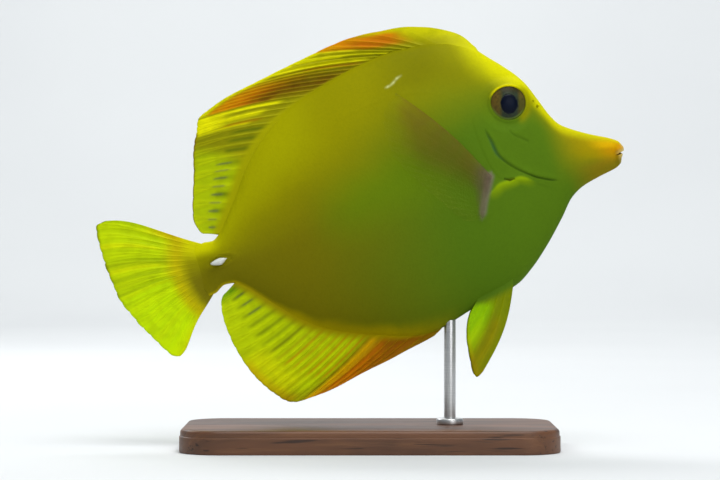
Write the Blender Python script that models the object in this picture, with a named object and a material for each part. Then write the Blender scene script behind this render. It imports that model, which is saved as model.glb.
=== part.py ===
"""A yellow tang at life size, held nose up on a plain display stand.

Everything on the fish is drawn in its own frame, in millimetres: s runs back from the tip of
the snout, y to the fish's left, h up towards the back. The stand is drawn in the world frame.
"""

import math

import bmesh
import bpy
import numpy as np
from mathutils import Vector

MM = 0.001

# How the fish hangs over the stand
PITCH = math.radians(15.0)
SNOUT_X = 87.0
SNOUT_Z = 101.5

# Clearance between pieces that touch, and the reach of a cut through the whole fish
GAP = 0.3
WIDE = 40.0

# The outline of the flesh, seen from the side, as (s, h)
BACK = [
    (0.0, 3.0), (3.2, 5.4), (9.6, 8.8), (15.7, 12.4), (18.9, 14.9), (21.1, 18.3), (24.0, 25.4),
    (27.1, 32.3), (32.2, 38.8), (36.8, 43.6), (40.4, 47.4), (44.1, 49.9), (49.0, 51.8),
    (57.0, 53.2), (69.0, 53.6), (80.0, 52.1), (97.5, 47.7), (107.3, 44.2), (114.8, 40.0),
    (121.3, 34.8), (126.8, 28.6), (131.5, 21.6), (135.5, 16.0), (138.7, 11.6), (141.5, 8.4),
    (144.2, 6.9), (147.5, 7.3), (151.0, 9.0), (158.0, 13.0),
]
BELLY = [
    (0.0, -3.0), (3.6, -4.7), (10.1, -6.1), (16.5, -7.9), (20.8, -10.4), (26.2, -16.5),
    (33.4, -24.1), (40.5, -30.4), (46.4, -34.3), (54.0, -36.6), (62.0, -38.2), (72.0, -41.2),
    (79.5, -43.0), (86.0, -42.6), (96.0, -39.9), (106.0, -36.5), (115.7, -32.0), (122.0, -27.2),
    (128.0, -21.2), (133.0, -15.6), (137.0, -11.4), (140.5, -9.0), (143.5, -8.7), (148.0, -11.3),
    (158.0, -18.5),
]
# Level of the widest point, and the half width there without the crest
WIDEST_LEVEL = [(0.0, 0.2), (10.0, 1.0), (20.0, 3.0), (30.0, 7.5), (42.0, 9.5), (60.0, 8.0),
                (80.0, 6.0), (100.0, 3.0), (120.0, 1.0), (140.0, -0.5), (158.0, -2.0)]
HALF_WIDTH = [(0.0, 2.1), (1.7, 2.45), (3.2, 2.05), (4.6, 2.25), (10.0, 3.0), (20.0, 4.6),
              (30.0, 6.7), (36.0, 7.8), (45.0, 9.3), (55.0, 10.6), (65.0, 11.4), (75.0, 11.7),
              (85.0, 11.5), (95.0, 10.7), (105.0, 9.5), (115.0, 7.9), (125.0, 6.1), (135.0, 4.4),
              (142.0, 3.5), (150.0, 2.2), (158.0, 0.9)]
# How quickly a section narrows above and below that level: 0.5 is an ellipse, 1 is a lens
BACK_SHARPNESS = [(0.0, 0.5), (20.0, 0.5), (36.0, 0.56), (60.0, 0.72), (110.0, 0.78), (158.0, 0.6)]
BELLY_SHARPNESS = [(0.0, 0.5), (20.0, 0.55), (50.0, 0.62), (75.0, 0.66), (110.0, 0.76), (158.0, 0.6)]
# Half width of the flat strip that the middle fins stand on
CREST = [(0.0, 0.15), (34.0, 0.4), (45.0, 0.9), (138.0, 0.9), (146.0, 0.8), (158.0, 0.4)]
SNOUT_ROUNDING = 2.4
CHIN_SETBACK = 1.3
SECTION_SIDES = 32
# Spacing of the sections: from s, up to s, step
SECTION_RUNS = [(2.4, 5.4, 0.75), (5.4, 26.0, 2.0), (26.0, 50.0, 2.4), (50.0, 135.0, 5.0),
                (135.0, 158.0, 2.2)]

# Where the flesh is parted: the gill opening between its lines up to the nape and down to the
# throat, the edge of the cheek in front of the gill cover, and the wrist of the tail
NAPE_LINE = [(34.0, 64.0), (38.2, 50.0), (42.0, 39.0), (45.9, 30.0)]
GILL_LINE = [(47.6, 23.6), (47.6, 18.0), (46.9, 12.0), (45.7, 6.4), (43.4, 1.2), (39.6, -1.7),
             (34.4, -3.8), (29.0, -5.8), (25.2, -8.0)]
THROAT_LINE = [(21.4, -12.4), (17.0, -20.0)]
CHEEK_LINE = [(44.9, 23.2), (44.2, 18.0), (43.4, 12.5), (41.0, 7.9), (37.4, 3.4), (32.4, 0.0),
              (27.4, -2.8), (24.6, -4.9)]
COVER_INNER_FROM = 13.0
COVER_INNER_SLOPE = 0.2
CUT_STEPS = 3
STALK_S = 133.0
STALK_BOW = 3.0
TAIL_ROOT_S = 153.0
TAIL_ROOT_H = -2.0
TAIL_ROOT_BOW = 0.03

# The eye: its place, radius at the skin, height of its dome, depth and turn
EYE_S = 34.0
EYE_H = 26.5
EYE_RADIUS = 5.9
EYE_DOME = 1.9
EYE_DEPTH = 2.6
EYE_YAW = math.radians(9.0)
EYE_SIDES = 24
EYE_RINGS = 6

RIM_THICKNESS = 0.8
RIM_SINK = 0.25
RIM_SIDES = 6

# Nostrils as (s, h, radius), and the slit of the mouth
NOSTRILS = [(24.7, 22.4, 0.5), (25.7, 24.6, 0.35)]
NOSTRIL_DEPTH = 1.2
NOSTRIL_SIDES = 8
MOUTH_H = -0.6
MOUTH_DEPTH = 2.9
MOUTH_RISE = 0.5
MOUTH_OPEN = 0.9

# The white spine folded into each side of the tail stalk
SCALPEL_S = 143.0
SCALPEL_H = -0.5
SCALPEL_LENGTH = 6.8
SCALPEL_HEIGHT = 2.6
SCALPEL_THICKNESS = 1.5
SCALPEL_PROUD = 0.75
SCALPEL_TILT = math.radians(4.0)

# Fins: half thickness of membrane, ray, spine and edge. Where each ray meets the edge of its fin
# is a table of (share of the root, share of the edge).
MEMBRANE = 0.28
RAY = 0.52
SPINE = 0.62
EDGE = 0.2
RAY_WIDTH = 0.27
ROOT_FADE = 0.22

DORSAL_SPINES = 5
DORSAL_RAYS = 24
DORSAL_FROM = 40.2
DORSAL_TO = 140.6
DORSAL_MARGIN = [
    (40.5, 48.9), (42.1, 51.6), (44.4, 53.9), (49.7, 56.9), (55.0, 59.1), (62.0, 60.9),
    (70.0, 61.6), (77.0, 62.0), (85.0, 61.5), (99.6, 58.9), (113.7, 56.0), (126.2, 53.3),
    (134.4, 50.4), (138.0, 48.4), (139.6, 44.4), (142.4, 38.5), (144.2, 31.5), (146.0, 25.5),
    (147.8, 19.5), (148.4, 15.0), (147.2, 10.9), (144.4, 8.9),
]
DORSAL_TIPS = [(0.0, 0.02), (0.07, 0.2), (0.14, 0.32), (0.25, 0.45), (0.35, 0.56), (0.5, 0.67),
               (0.6, 0.715), (0.7, 0.75), (0.8, 0.8), (0.9, 0.88), (1.0, 0.985)]

ANAL_SPINES = 3
ANAL_RAYS = 20
ANAL_FROM = 80.5
ANAL_TO = 139.4
ANAL_MARGIN = [
    (88.0, -45.9), (96.0, -48.2), (106.0, -50.2), (117.0, -52.8), (126.5, -53.8), (131.5, -53.7),
    (135.8, -50.7), (141.3, -43.2), (144.9, -34.6), (147.0, -24.6), (147.2, -18.0),
    (146.0, -13.0), (143.6, -10.9),
]
ANAL_TIPS = [(0.0, 0.02), (0.08, 0.2), (0.15, 0.31), (0.22, 0.39), (0.3, 0.45), (0.4, 0.51),
             (0.5, 0.57), (0.6, 0.64), (0.72, 0.745), (0.82, 0.84), (0.9, 0.91), (1.0, 0.985)]

TAIL_RAYS = 17
TAIL_MARGIN = [
    (178.6, 23.2), (181.2, 22.5), (182.0, 19.0), (181.9, 10.6), (181.3, 5.0), (179.6, -4.4),
    (175.6, -14.3), (170.8, -22.2), (167.4, -27.2), (165.2, -28.4),
]
TAIL_TOP_BOW = 0.9
TAIL_LOW_BOW = -0.3

PECTORAL_RAYS = 15
PECTORAL_BASE = [(46.4, 3.4), (48.6, -0.6), (50.9, -5.0), (52.6, -9.2)]
PECTORAL_MARGIN = [
    (70.6, 38.6), (74.6, 35.6), (77.4, 29.5), (77.6, 21.5), (74.6, 13.5), (69.5, 5.4),
    (64.2, -2.2), (59.6, -8.6),
]
PECTORAL_SPREAD = 0.2
PECTORAL_BOW = 1.6
PECTORAL_ROOT = 0.95

PELVIC_RAYS = 5
PELVIC_FROM = 47.5
PELVIC_TO = 57.5
PELVIC_ROOT_Y = 2.6
PELVIC_ROOT = 0.8
PELVIC_MARGIN = [
    (66.6, -60.4), (68.7, -61.4), (69.3, -58.8), (69.1, -54.0), (68.5, -48.2), (66.6, -42.8),
    (63.6, -40.4),
]
PELVIC_SPREAD = 0.1
PELVIC_BOW = 1.6

# The stand
BASE_LENGTH = 128.0
BASE_WIDTH = 66.0
BASE_THICKNESS = 8.0
BASE_CORNER = 14.0
BASE_CORNER_STEPS = 7
BASE_BEVEL = 1.2
ROD_X = 27.5
ROD_RADIUS = 2.0
ROD_SIDES = 20
ROD_TOP = 44.0
ROD_SOCKET = 4.0

YELLOW = (0.80, 0.62, 0.01)
FIN_YELLOW = (0.78, 0.66, 0.01)
WHITE = (0.85, 0.84, 0.76)
DARK = (0.015, 0.018, 0.03)
WOOD = (0.06, 0.035, 0.02)
STEEL = (0.62, 0.62, 0.63)


def clear_scene():
    for obj in list(bpy.data.objects):
        bpy.data.objects.remove(obj)


def material(name, colour, roughness, metallic=0.0):
    made = bpy.data.materials.new(name)
    made.use_nodes = True
    shader = made.node_tree.nodes["Principled BSDF"]
    shader.inputs["Base Color"].default_value = (*colour, 1.0)
    shader.inputs["Roughness"].default_value = roughness
    shader.inputs["Metallic"].default_value = metallic
    return made


def smooth_between(table, at):
    """A smooth curve through a table of (position, value) that never overshoots its values."""
    x, y = np.array(table, float).T
    step = np.diff(x)
    slope = np.diff(y) / step
    tangent = np.zeros_like(y)
    tangent[0], tangent[-1] = slope[0], slope[-1]
    for i in range(1, len(x) - 1):
        if slope[i - 1] * slope[i] > 0:
            before, after = 2 * step[i] + step[i - 1], step[i] + 2 * step[i - 1]
            tangent[i] = (before + after) / (before / slope[i - 1] + after / slope[i])
    at = np.clip(np.asarray(at, float), x[0], x[-1])
    i = np.clip(np.searchsorted(x, at, side="right") - 1, 0, len(x) - 2)
    t = (at - x[i]) / step[i]
    return (
        y[i] * (1 + 2 * t) * (1 - t) ** 2
        + y[i + 1] * t * t * (3 - 2 * t)
        + step[i] * t * (1 - t) * (tangent[i] * (1 - t) - tangent[i + 1] * t)
    )


class Curve:
    """A smooth plane curve through points, read by its share of length."""

    def __init__(self, points, steps=8):
        points = np.array(points, float)
        ends = np.vstack([2 * points[0] - points[1], points, 2 * points[-1] - points[-2]])
        dense = []
        for a, b, c, d in zip(ends[:-3], ends[1:-2], ends[2:-1], ends[3:]):
            for t in np.arange(steps) / steps:
                dense.append(
                    0.5 * (2 * b + (c - a) * t + (2 * a - 5 * b + 4 * c - d) * t * t
                           + (3 * b - a - 3 * c + d) * t ** 3)
                )
        dense.append(points[-1])
        self.points = np.array(dense)
        lengths = np.linalg.norm(np.diff(self.points, axis=0), axis=1)
        self.length = lengths.sum()
        self.share = np.concatenate([[0.0], np.cumsum(lengths)]) / self.length

    def at(self, share):
        return np.array([np.interp(share, self.share, self.points[:, k]) for k in range(2)])

    def shifted(self, distance):
        """The curve's points moved to its left, looking along it in the (s, h) plane."""
        along = np.gradient(self.points, axis=0)
        along /= np.linalg.norm(along, axis=1)[:, None]
        return self.points + distance * np.stack([-along[:, 1], along[:, 0]], axis=1)


def round_off(s):
    """Share of the full section at s, which closes the snout in a round end."""
    near = np.clip(s / SNOUT_ROUNDING, 0.0, 1.0)
    return np.sqrt(1.0 - (1.0 - near) ** 2)


def section_limits(s):
    """(lowest, widest, highest) level of the flesh at s."""
    middle = smooth_between(WIDEST_LEVEL, s)
    share = round_off(s)
    top = middle + (smooth_between(BACK, s) - middle) * share
    bottom = middle + (smooth_between(BELLY, s) - middle) * share
    return bottom, middle, top


def half_width(s, h):
    """Distance from the middle plane to the skin at (s, h), or 0 outside the flesh."""
    bottom, middle, top = section_limits(s)
    upper = h >= middle
    reach = np.where(upper, top - middle, middle - bottom)
    level = np.clip(np.abs(h - middle) / np.maximum(reach, 1e-6), 0.0, 1.0)
    power = np.where(upper, smooth_between(BACK_SHARPNESS, s), smooth_between(BELLY_SHARPNESS, s))
    body = smooth_between(HALF_WIDTH, s) * (1.0 - level ** 2) ** power
    return (body + smooth_between(CREST, s)) * round_off(s)


def belly_level(s, y):
    """Level of the underside at a distance y from the middle plane."""
    bottom, middle, _ = section_limits(s)
    low, high = bottom, middle
    for _ in range(40):
        mid = (low + high) / 2
        if half_width(s, mid) < y:
            low = mid
        else:
            high = mid
    return high


def point(s, y, h):
    """A place on the fish in its own axes, in metres, with +X ahead."""
    return Vector((-s * MM, y * MM, h * MM))


def new_object(name, mesh_or_curve, finish=None, parent=None):
    obj = bpy.data.objects.new(name, mesh_or_curve)
    bpy.context.scene.collection.objects.link(obj)
    if finish is not None:
        obj.data.materials.append(finish)
    obj.parent = parent
    return obj


def mesh_from(name, verts, faces):
    mesh = bpy.data.meshes.new(name)
    mesh.from_pydata([tuple(v) for v in verts], [], faces)
    mesh.validate()
    shaped = bmesh.new()
    shaped.from_mesh(mesh)
    bmesh.ops.recalc_face_normals(shaped, faces=shaped.faces)
    if shaped.calc_volume(signed=True) < 0:
        bmesh.ops.reverse_faces(shaped, faces=shaped.faces)
    shaped.to_mesh(mesh)
    shaped.free()
    return mesh


def flesh_mesh():
    """The whole body as one closed loft of sections, snout to tail."""
    stations = [SNOUT_ROUNDING * (1.0 - math.cos(a)) for a in np.radians([14, 30, 47, 66])]
    for start, end, step in SECTION_RUNS:
        stations.extend(np.linspace(start, end, round((end - start) / step), endpoint=False))
    stations.append(SECTION_RUNS[-1][1])
    angles = (np.arange(SECTION_SIDES) + 0.5) * 2 * math.pi / SECTION_SIDES
    shaped = bmesh.new()
    rings = []
    for s in stations:
        bottom, middle, top = section_limits(s)
        ring = []
        for angle in angles:
            rise = math.cos(angle) / math.cos(math.pi / SECTION_SIDES)
            h = middle + rise * (top - middle if rise > 0 else middle - bottom)
            y = math.copysign(float(half_width(s, h)), math.sin(angle))
            chin = CHIN_SETBACK * math.exp(-s / 2.0) * min(max(middle - h, 0.0) / 2.0, 1.0)
            ring.append(shaped.verts.new(point(s + chin, y, h)))
        rings.append(ring)
    for near, far in zip(rings, rings[1:]):
        for i in range(SECTION_SIDES):
            j = (i + 1) % SECTION_SIDES
            shaped.faces.new((near[i], near[j], far[j], far[i]))
    shaped.faces.new(rings[0])
    shaped.faces.new(rings[-1])
    bmesh.ops.triangulate(shaped, faces=shaped.faces)
    bmesh.ops.recalc_face_normals(shaped, faces=shaped.faces)
    mesh = bpy.data.meshes.new("flesh")
    shaped.to_mesh(mesh)
    shaped.free()
    return mesh


def grown(outline, distance):
    """A closed outline moved outward all round."""
    points = np.array(outline, float)
    edges = np.roll(points, -1, axis=0) - points
    turning = np.sum(points[:, 0] * np.roll(points[:, 1], -1) - points[:, 1] * np.roll(points[:, 0], -1))
    normals = np.stack([edges[:, 1], -edges[:, 0]], axis=1) * np.sign(turning)
    normals /= np.linalg.norm(normals, axis=1)[:, None]
    before = np.roll(normals, 1, axis=0)
    share = distance / np.maximum(1.0 + np.sum(normals * before, axis=1), 0.4)
    return points + (normals + before) * share[:, None]


def prism_mesh(name, outline, inner_y, outer_y):
    """A closed prism over an outline in the (s, h) plane, between two side walls."""
    near = [point(s, inner_y(s), h) for s, h in outline]
    far = [point(s, outer_y, h) for s, h in outline]
    count = len(outline)
    faces = [list(range(count)), list(range(2 * count - 1, count - 1, -1))]
    faces += [(i, i + count, (i + 1) % count + count, (i + 1) % count) for i in range(count)]
    return mesh_from(name, near + far, faces)


def boolean(obj, operation, cutter):
    """Joins a cutter to a piece or takes it away, then keeps the largest closed surface."""
    change = obj.modifiers.new(cutter.name, "BOOLEAN")
    change.operation = operation
    change.solver = "EXACT"
    change.object = cutter
    bpy.context.view_layer.update()
    graph = bpy.context.evaluated_depsgraph_get()
    shaped = bmesh.new()
    shaped.from_mesh(bpy.data.meshes.new_from_object(obj.evaluated_get(graph)))
    bmesh.ops.triangulate(shaped, faces=shaped.faces)
    bmesh.ops.remove_doubles(shaped, verts=shaped.verts, dist=1e-7)
    bmesh.ops.dissolve_degenerate(shaped, edges=shaped.edges, dist=1e-7)
    unseen = set(shaped.verts)
    islands = []
    while unseen:
        island, edge_of_it = set(), [unseen.pop()]
        while edge_of_it:
            vert = edge_of_it.pop()
            island.add(vert)
            near = {e.other_vert(vert) for e in vert.link_edges} & unseen
            unseen -= near
            edge_of_it.extend(near)
        islands.append(island)
    islands.sort(key=len)
    for island in islands[:-1]:
        bmesh.ops.delete(shaped, geom=list(island), context="VERTS")
    obj.modifiers.clear()
    shaped.to_mesh(obj.data)
    shaped.free()
    bpy.data.objects.remove(cutter)


def smooth(obj):
    obj.data.shade_smooth()
    obj.data.set_sharp_from_angle(angle=math.radians(40))


def cutter_object(mesh, parent):
    made = new_object(mesh.name, mesh, parent=parent)
    made.hide_render = True
    made.display_type = "WIRE"
    return made


def stalk_front(shift):
    """The line across the wrist of the tail, moved back by shift."""
    levels = np.linspace(-30.0, 30.0, 9)
    return [(STALK_S + shift - STALK_BOW * (h / 20.0) ** 2, h) for h in levels]


def tail_root_s(h):
    """Where the flesh of the tail ends and its fin begins."""
    return TAIL_ROOT_S - TAIL_ROOT_BOW * (h - TAIL_ROOT_H) ** 2


def eye_frame(side):
    """(centre, outward) of an eye, where side is -1 for right and 1 for left."""
    y = side * float(half_width(EYE_S, EYE_H))
    outward = Vector((math.sin(EYE_YAW), side * math.cos(EYE_YAW), 0.0))
    return point(EYE_S, y, EYE_H), outward


def eye_mesh(name, radius, dome, depth):
    """A turned eye: a shallow dome on a short drum, with +Z outward."""
    curvature = (radius ** 2 + dome ** 2) / (2 * dome)
    widest = math.asin(radius / curvature)
    shaped = bmesh.new()
    rings = []
    for k in range(1, EYE_RINGS + 1):
        angle = widest * k / EYE_RINGS
        rings.append((curvature * math.sin(angle), curvature * (math.cos(angle) - 1.0) + dome))
    rings.append((radius, -depth))
    loops = []
    for r, z in rings:
        turn = np.arange(EYE_SIDES) * 2 * math.pi / EYE_SIDES
        loops.append([shaped.verts.new((r * MM * math.cos(a), r * MM * math.sin(a), z * MM)) for a in turn])
    apex = shaped.verts.new((0.0, 0.0, dome * MM))
    for i in range(EYE_SIDES):
        j = (i + 1) % EYE_SIDES
        shaped.faces.new((apex, loops[0][i], loops[0][j]))
        for inner, outer in zip(loops, loops[1:]):
            shaped.faces.new((inner[i], outer[i], outer[j], inner[j]))
    shaped.faces.new(loops[-1])
    bmesh.ops.recalc_face_normals(shaped, faces=shaped.faces)
    mesh = bpy.data.meshes.new(name)
    shaped.to_mesh(mesh)
    shaped.free()
    return mesh


def turned_outward(obj, centre, outward):
    obj.location = centre
    obj.rotation_mode = "QUATERNION"
    obj.rotation_quaternion = outward.to_track_quat("Z", "Y")


def drum_mesh(name, radius, low, high, sides):
    """A plain round bar along Z."""
    shaped = bmesh.new()
    bmesh.ops.create_cone(
        shaped, cap_ends=True, segments=sides, radius1=radius * MM, radius2=radius * MM,
        depth=(high - low) * MM,
    )
    bmesh.ops.translate(shaped, verts=shaped.verts, vec=(0.0, 0.0, (high + low) / 2 * MM))
    mesh = bpy.data.meshes.new(name)
    shaped.to_mesh(mesh)
    shaped.free()
    return mesh


def mouth_cutter(parent):
    """A thin wedge, open at the front, that parts the lips."""
    back = MOUTH_DEPTH
    outline = [
        (-3.0, MOUTH_H - MOUTH_OPEN), (back, MOUTH_H + MOUTH_RISE - 0.12),
        (back, MOUTH_H + MOUTH_RISE + 0.12), (-3.0, MOUTH_H + MOUTH_OPEN * 0.6),
    ]
    return cutter_object(prism_mesh("mouth_slit", outline, lambda s: -8.0, 8.0), parent)


def scalpel_mesh(name, grow):
    """A flat pointed blade: blunt at the back, sharp ahead, with +Z outward."""
    length, height = SCALPEL_LENGTH + 2 * grow, SCALPEL_HEIGHT + 2 * grow
    thickness = SCALPEL_THICKNESS + 2 * grow
    outline = []
    for k in range(14):
        turn = 2 * math.pi * k / 14
        x, z = math.cos(turn), math.sin(turn)
        taper = 0.5 * (1.0 - x) ** 0.5 if x > 0 else 0.5 * (1.0 + 0.25 * x)
        outline.append((x * length / 2, z * height * taper * 1.1))
    shaped = bmesh.new()
    rings = []
    for share, level in ((1.0, -0.5), (1.0, 0.15), (0.6, 0.42)):
        rings.append([
            shaped.verts.new((x * share * MM, z * share * MM, level * thickness * MM))
            for x, z in outline
        ])
    top = shaped.verts.new((0.0, 0.0, thickness / 2 * MM))
    for inner, outer in zip(rings, rings[1:]):
        for i in range(len(outline)):
            j = (i + 1) % len(outline)
            shaped.faces.new((inner[i], inner[j], outer[j], outer[i]))
    for i in range(len(outline)):
        shaped.faces.new((rings[-1][i], rings[-1][(i + 1) % len(outline)], top))
    shaped.faces.new(rings[0][::-1])
    bmesh.ops.recalc_face_normals(shaped, faces=shaped.faces)
    mesh = bpy.data.meshes.new(name)
    shaped.to_mesh(mesh)
    shaped.free()
    return mesh


def scalpel_at(obj, side):
    """Lays a blade on the flank of the tail stalk, pointing ahead."""
    y = float(half_width(SCALPEL_S, SCALPEL_H)) + SCALPEL_PROUD - SCALPEL_THICKNESS / 2
    obj.location = point(SCALPEL_S, side * y, SCALPEL_H)
    obj.rotation_euler = (-side * math.pi / 2, -SCALPEL_TILT, 0.0)


def ray_columns(spines, rays):
    """Places across a fin and the half thickness of each: a ridge on every spine and ray."""
    count = spines + rays
    columns = []
    for k in range(count):
        centre = k / (count - 1)
        side = RAY_WIDTH / (count - 1)
        ridge = SPINE if k < spines else RAY
        for place, half in ((centre - side, MEMBRANE), (centre, ridge), (centre + side, MEMBRANE)):
            if 0.0 <= place <= 1.0:
                columns.append((place, half))
    return columns


def fin_mesh(name, columns, rows, middle, root_half):
    """A closed fin.

    middle(u, v) gives the middle surface's (s, y, h) and the direction of its thickness at a
    share u across the fin and v from root to tip. Both faces are split the same way.
    """
    levels = np.linspace(0.0, 1.0, rows) ** 1.15
    near, far = [], []
    for u, ridge in columns:
        for v in levels:
            place, across = middle(u, v)
            flat = ridge + (MEMBRANE - ridge) * v ** 1.5
            half = flat + (root_half(u) - flat) * max(0.0, 1.0 - v / ROOT_FADE) ** 1.5
            if v > 0.9:
                half = EDGE + (half - EDGE) * (1.0 - v) / 0.1
            near.append(point(*(place - across * half)))
            far.append(point(*(place + across * half)))
    total = len(columns) * rows

    def index(i, j):
        return i * rows + j

    faces = []
    for i in range(len(columns) - 1):
        for j in range(rows - 1):
            a, b, c, d = index(i, j), index(i + 1, j), index(i + 1, j + 1), index(i, j + 1)
            faces += [(a, b, c), (a, c, d)]
            faces += [(a + total, c + total, b + total), (a + total, d + total, c + total)]
    border = [index(i, 0) for i in range(len(columns))]
    border += [index(len(columns) - 1, j) for j in range(1, rows)]
    border += [index(i, rows - 1) for i in range(len(columns) - 2, -1, -1)]
    border += [index(0, j) for j in range(rows - 2, 0, -1)]
    for a, b in zip(border, border[1:] + border[:1]):
        faces += [(a, a + total, b + total), (a, b + total, b)]
    return mesh_from(name, near + far, faces)


def across_y():
    return np.array([0.0, 1.0, 0.0])


def dorsal_middle(u, v):
    s = DORSAL_FROM + (DORSAL_TO - DORSAL_FROM) * u
    slope = float(smooth_between(BACK, s + 0.5) - smooth_between(BACK, s - 0.5))
    run = math.hypot(1.0, slope)
    root = np.array([s, 0.0, float(smooth_between(BACK, s)) + GAP * run])
    tip_s, tip_h = DORSAL_EDGE.at(float(smooth_between(DORSAL_TIPS, u)))
    tip = np.array([tip_s, 0.0, tip_h])
    lift = 0.03 * np.linalg.norm(tip - root) * math.sin(math.pi * v)
    return root + (tip - root) * v + np.array([0.0, 0.0, lift]), across_y()


def anal_middle(u, v):
    s = ANAL_FROM + (ANAL_TO - ANAL_FROM) * u
    slope = float(smooth_between(BELLY, s + 0.5) - smooth_between(BELLY, s - 0.5))
    root = np.array([s, 0.0, float(smooth_between(BELLY, s)) - GAP * math.hypot(1.0, slope)])
    tip_s, tip_h = ANAL_EDGE.at(float(smooth_between(ANAL_TIPS, u)))
    tip = np.array([tip_s, 0.0, tip_h])
    drop = 0.03 * np.linalg.norm(tip - root) * math.sin(math.pi * v)
    return root + (tip - root) * v - np.array([0.0, 0.0, drop]), across_y()


def tail_middle(u, v):
    bottom, _, top = section_limits(TAIL_ROOT_S - 3.0)
    h = top + (bottom - top) * u
    root = np.array([tail_root_s(h) + GAP, 0.0, h])
    tip_s, tip_h = TAIL_EDGE.at(u)
    tip = np.array([tip_s, 0.0, tip_h])
    bow = TAIL_TOP_BOW + (TAIL_LOW_BOW - TAIL_TOP_BOW) * u
    return root + (tip - root) * v + np.array([0.0, 0.0, bow * math.sin(math.pi * v)]), across_y()


def pectoral_middle(side):
    def middle(u, v):
        root_s, root_h = PECTORAL_ROOT_LINE.at(u)
        tip_s, tip_h = PECTORAL_EDGE.at(u)
        reach = math.hypot(tip_s - root_s, tip_h - root_h)
        bow = PECTORAL_BOW * (1.0 - 1.4 * u) * math.sin(math.pi * v) / max(reach, 1.0)
        s = root_s + (tip_s - root_s) * v - (tip_h - root_h) * bow
        h = root_h + (tip_h - root_h) * v + (tip_s - root_s) * bow
        root_y = float(half_width(root_s, root_h)) + GAP + PECTORAL_ROOT
        y = root_y + PECTORAL_SPREAD * reach * v
        return np.array([s, side * y, h]), np.array([0.0, side, 0.0])

    return middle


def pelvic_middle(side):
    def middle(u, v):
        root_s = PELVIC_FROM + (PELVIC_TO - PELVIC_FROM) * u
        inner = float(belly_level(root_s, PELVIC_ROOT_Y - PELVIC_ROOT))
        outer = float(belly_level(root_s, PELVIC_ROOT_Y + PELVIC_ROOT))
        slope = (outer - inner) / (2 * PELVIC_ROOT)
        root_h = (inner + outer) / 2 - GAP * math.hypot(1.0, slope)
        tip_s, tip_h = PELVIC_EDGE.at(u)
        reach = math.hypot(tip_s - root_s, tip_h - root_h)
        bow = PELVIC_BOW * (1.0 - u) * math.sin(math.pi * v) / reach
        s = root_s + (tip_s - root_s) * v + (tip_h - root_h) * bow
        h = root_h + (tip_h - root_h) * v - (tip_s - root_s) * bow
        y = PELVIC_ROOT_Y + PELVIC_SPREAD * reach * v
        return np.array([s, side * y, h]), np.array([0.0, side, slope * max(0.0, 1.0 - v / ROOT_FADE)])

    return middle


def base_mesh():
    """The flat base: a plate with round corners and a bevelled top edge."""
    corners = []
    for cx, cy, start in ((1, 1, 0), (-1, 1, 90), (-1, -1, 180), (1, -1, 270)):
        for k in range(BASE_CORNER_STEPS + 1):
            turn = math.radians(start + 90 * k / BASE_CORNER_STEPS)
            corners.append((
                cx * (BASE_LENGTH / 2 - BASE_CORNER) + BASE_CORNER * math.cos(turn),
                cy * (BASE_WIDTH / 2 - BASE_CORNER) + BASE_CORNER * math.sin(turn),
            ))
    shaped = bmesh.new()
    outline = [shaped.verts.new((x * MM, y * MM, 0.0)) for x, y in corners]
    floor = shaped.faces.new(outline)
    top = bmesh.ops.extrude_face_region(shaped, geom=[floor])
    lifted = [v for v in top["geom"] if isinstance(v, bmesh.types.BMVert)]
    bmesh.ops.translate(shaped, verts=lifted, vec=(0.0, 0.0, BASE_THICKNESS * MM))
    rim = [e for e in shaped.edges if all(v.co.z > BASE_THICKNESS * MM / 2 for v in e.verts)]
    bmesh.ops.bevel(shaped, geom=rim, offset=BASE_BEVEL * MM, segments=2, affect="EDGES", profile=0.5)
    bmesh.ops.recalc_face_normals(shaped, faces=shaped.faces)
    mesh = bpy.data.meshes.new("stand_base")
    shaped.to_mesh(mesh)
    shaped.free()
    return mesh


def rim_mesh(name):
    """The low ring of skin round an eye, with +Z outward."""
    shaped = bmesh.new()
    loops = []
    for k in range(EYE_SIDES):
        turn = 2 * math.pi * k / EYE_SIDES
        loop = []
        for j in range(RIM_SIDES):
            roll = 2 * math.pi * j / RIM_SIDES
            r = EYE_RADIUS + GAP + RIM_THICKNESS * (0.7 + math.cos(roll))
            z = RIM_THICKNESS * math.sin(roll) - RIM_SINK
            loop.append(shaped.verts.new((r * MM * math.cos(turn), r * MM * math.sin(turn), z * MM)))
        loops.append(loop)
    for near, far in zip(loops, loops[1:] + loops[:1]):
        for j in range(RIM_SIDES):
            k = (j + 1) % RIM_SIDES
            shaped.faces.new((near[j], near[k], far[k], far[j]))
    bmesh.ops.recalc_face_normals(shaped, faces=shaped.faces)
    mesh = bpy.data.meshes.new(name)
    shaped.to_mesh(mesh)
    shaped.free()
    return mesh


def gill_cover(whole, word, side, head, finish, pose):
    """One gill cover, lying in the room that it leaves in the head."""

    def inner(depth):
        return lambda s: side * (COVER_INNER_SLOPE * (s - COVER_INNER_FROM) - depth)

    back_edge = Curve(GILL_LINE, CUT_STEPS).shifted(-GAP / 2)
    outline = [*Curve(CHEEK_LINE, CUT_STEPS).points, *back_edge[::-1]]
    room = prism_mesh("cover_room_" + word, grown(outline, GAP), inner(GAP), side * WIDE)
    boolean(head, "DIFFERENCE", cutter_object(room, pose))
    region = prism_mesh("cover_region_" + word, outline, inner(0.0), side * WIDE)
    cover = new_object("gill_cover_" + word, whole.copy(), finish, pose)
    boolean(cover, "INTERSECT", cutter_object(region, pose))
    smooth(cover)


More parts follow.
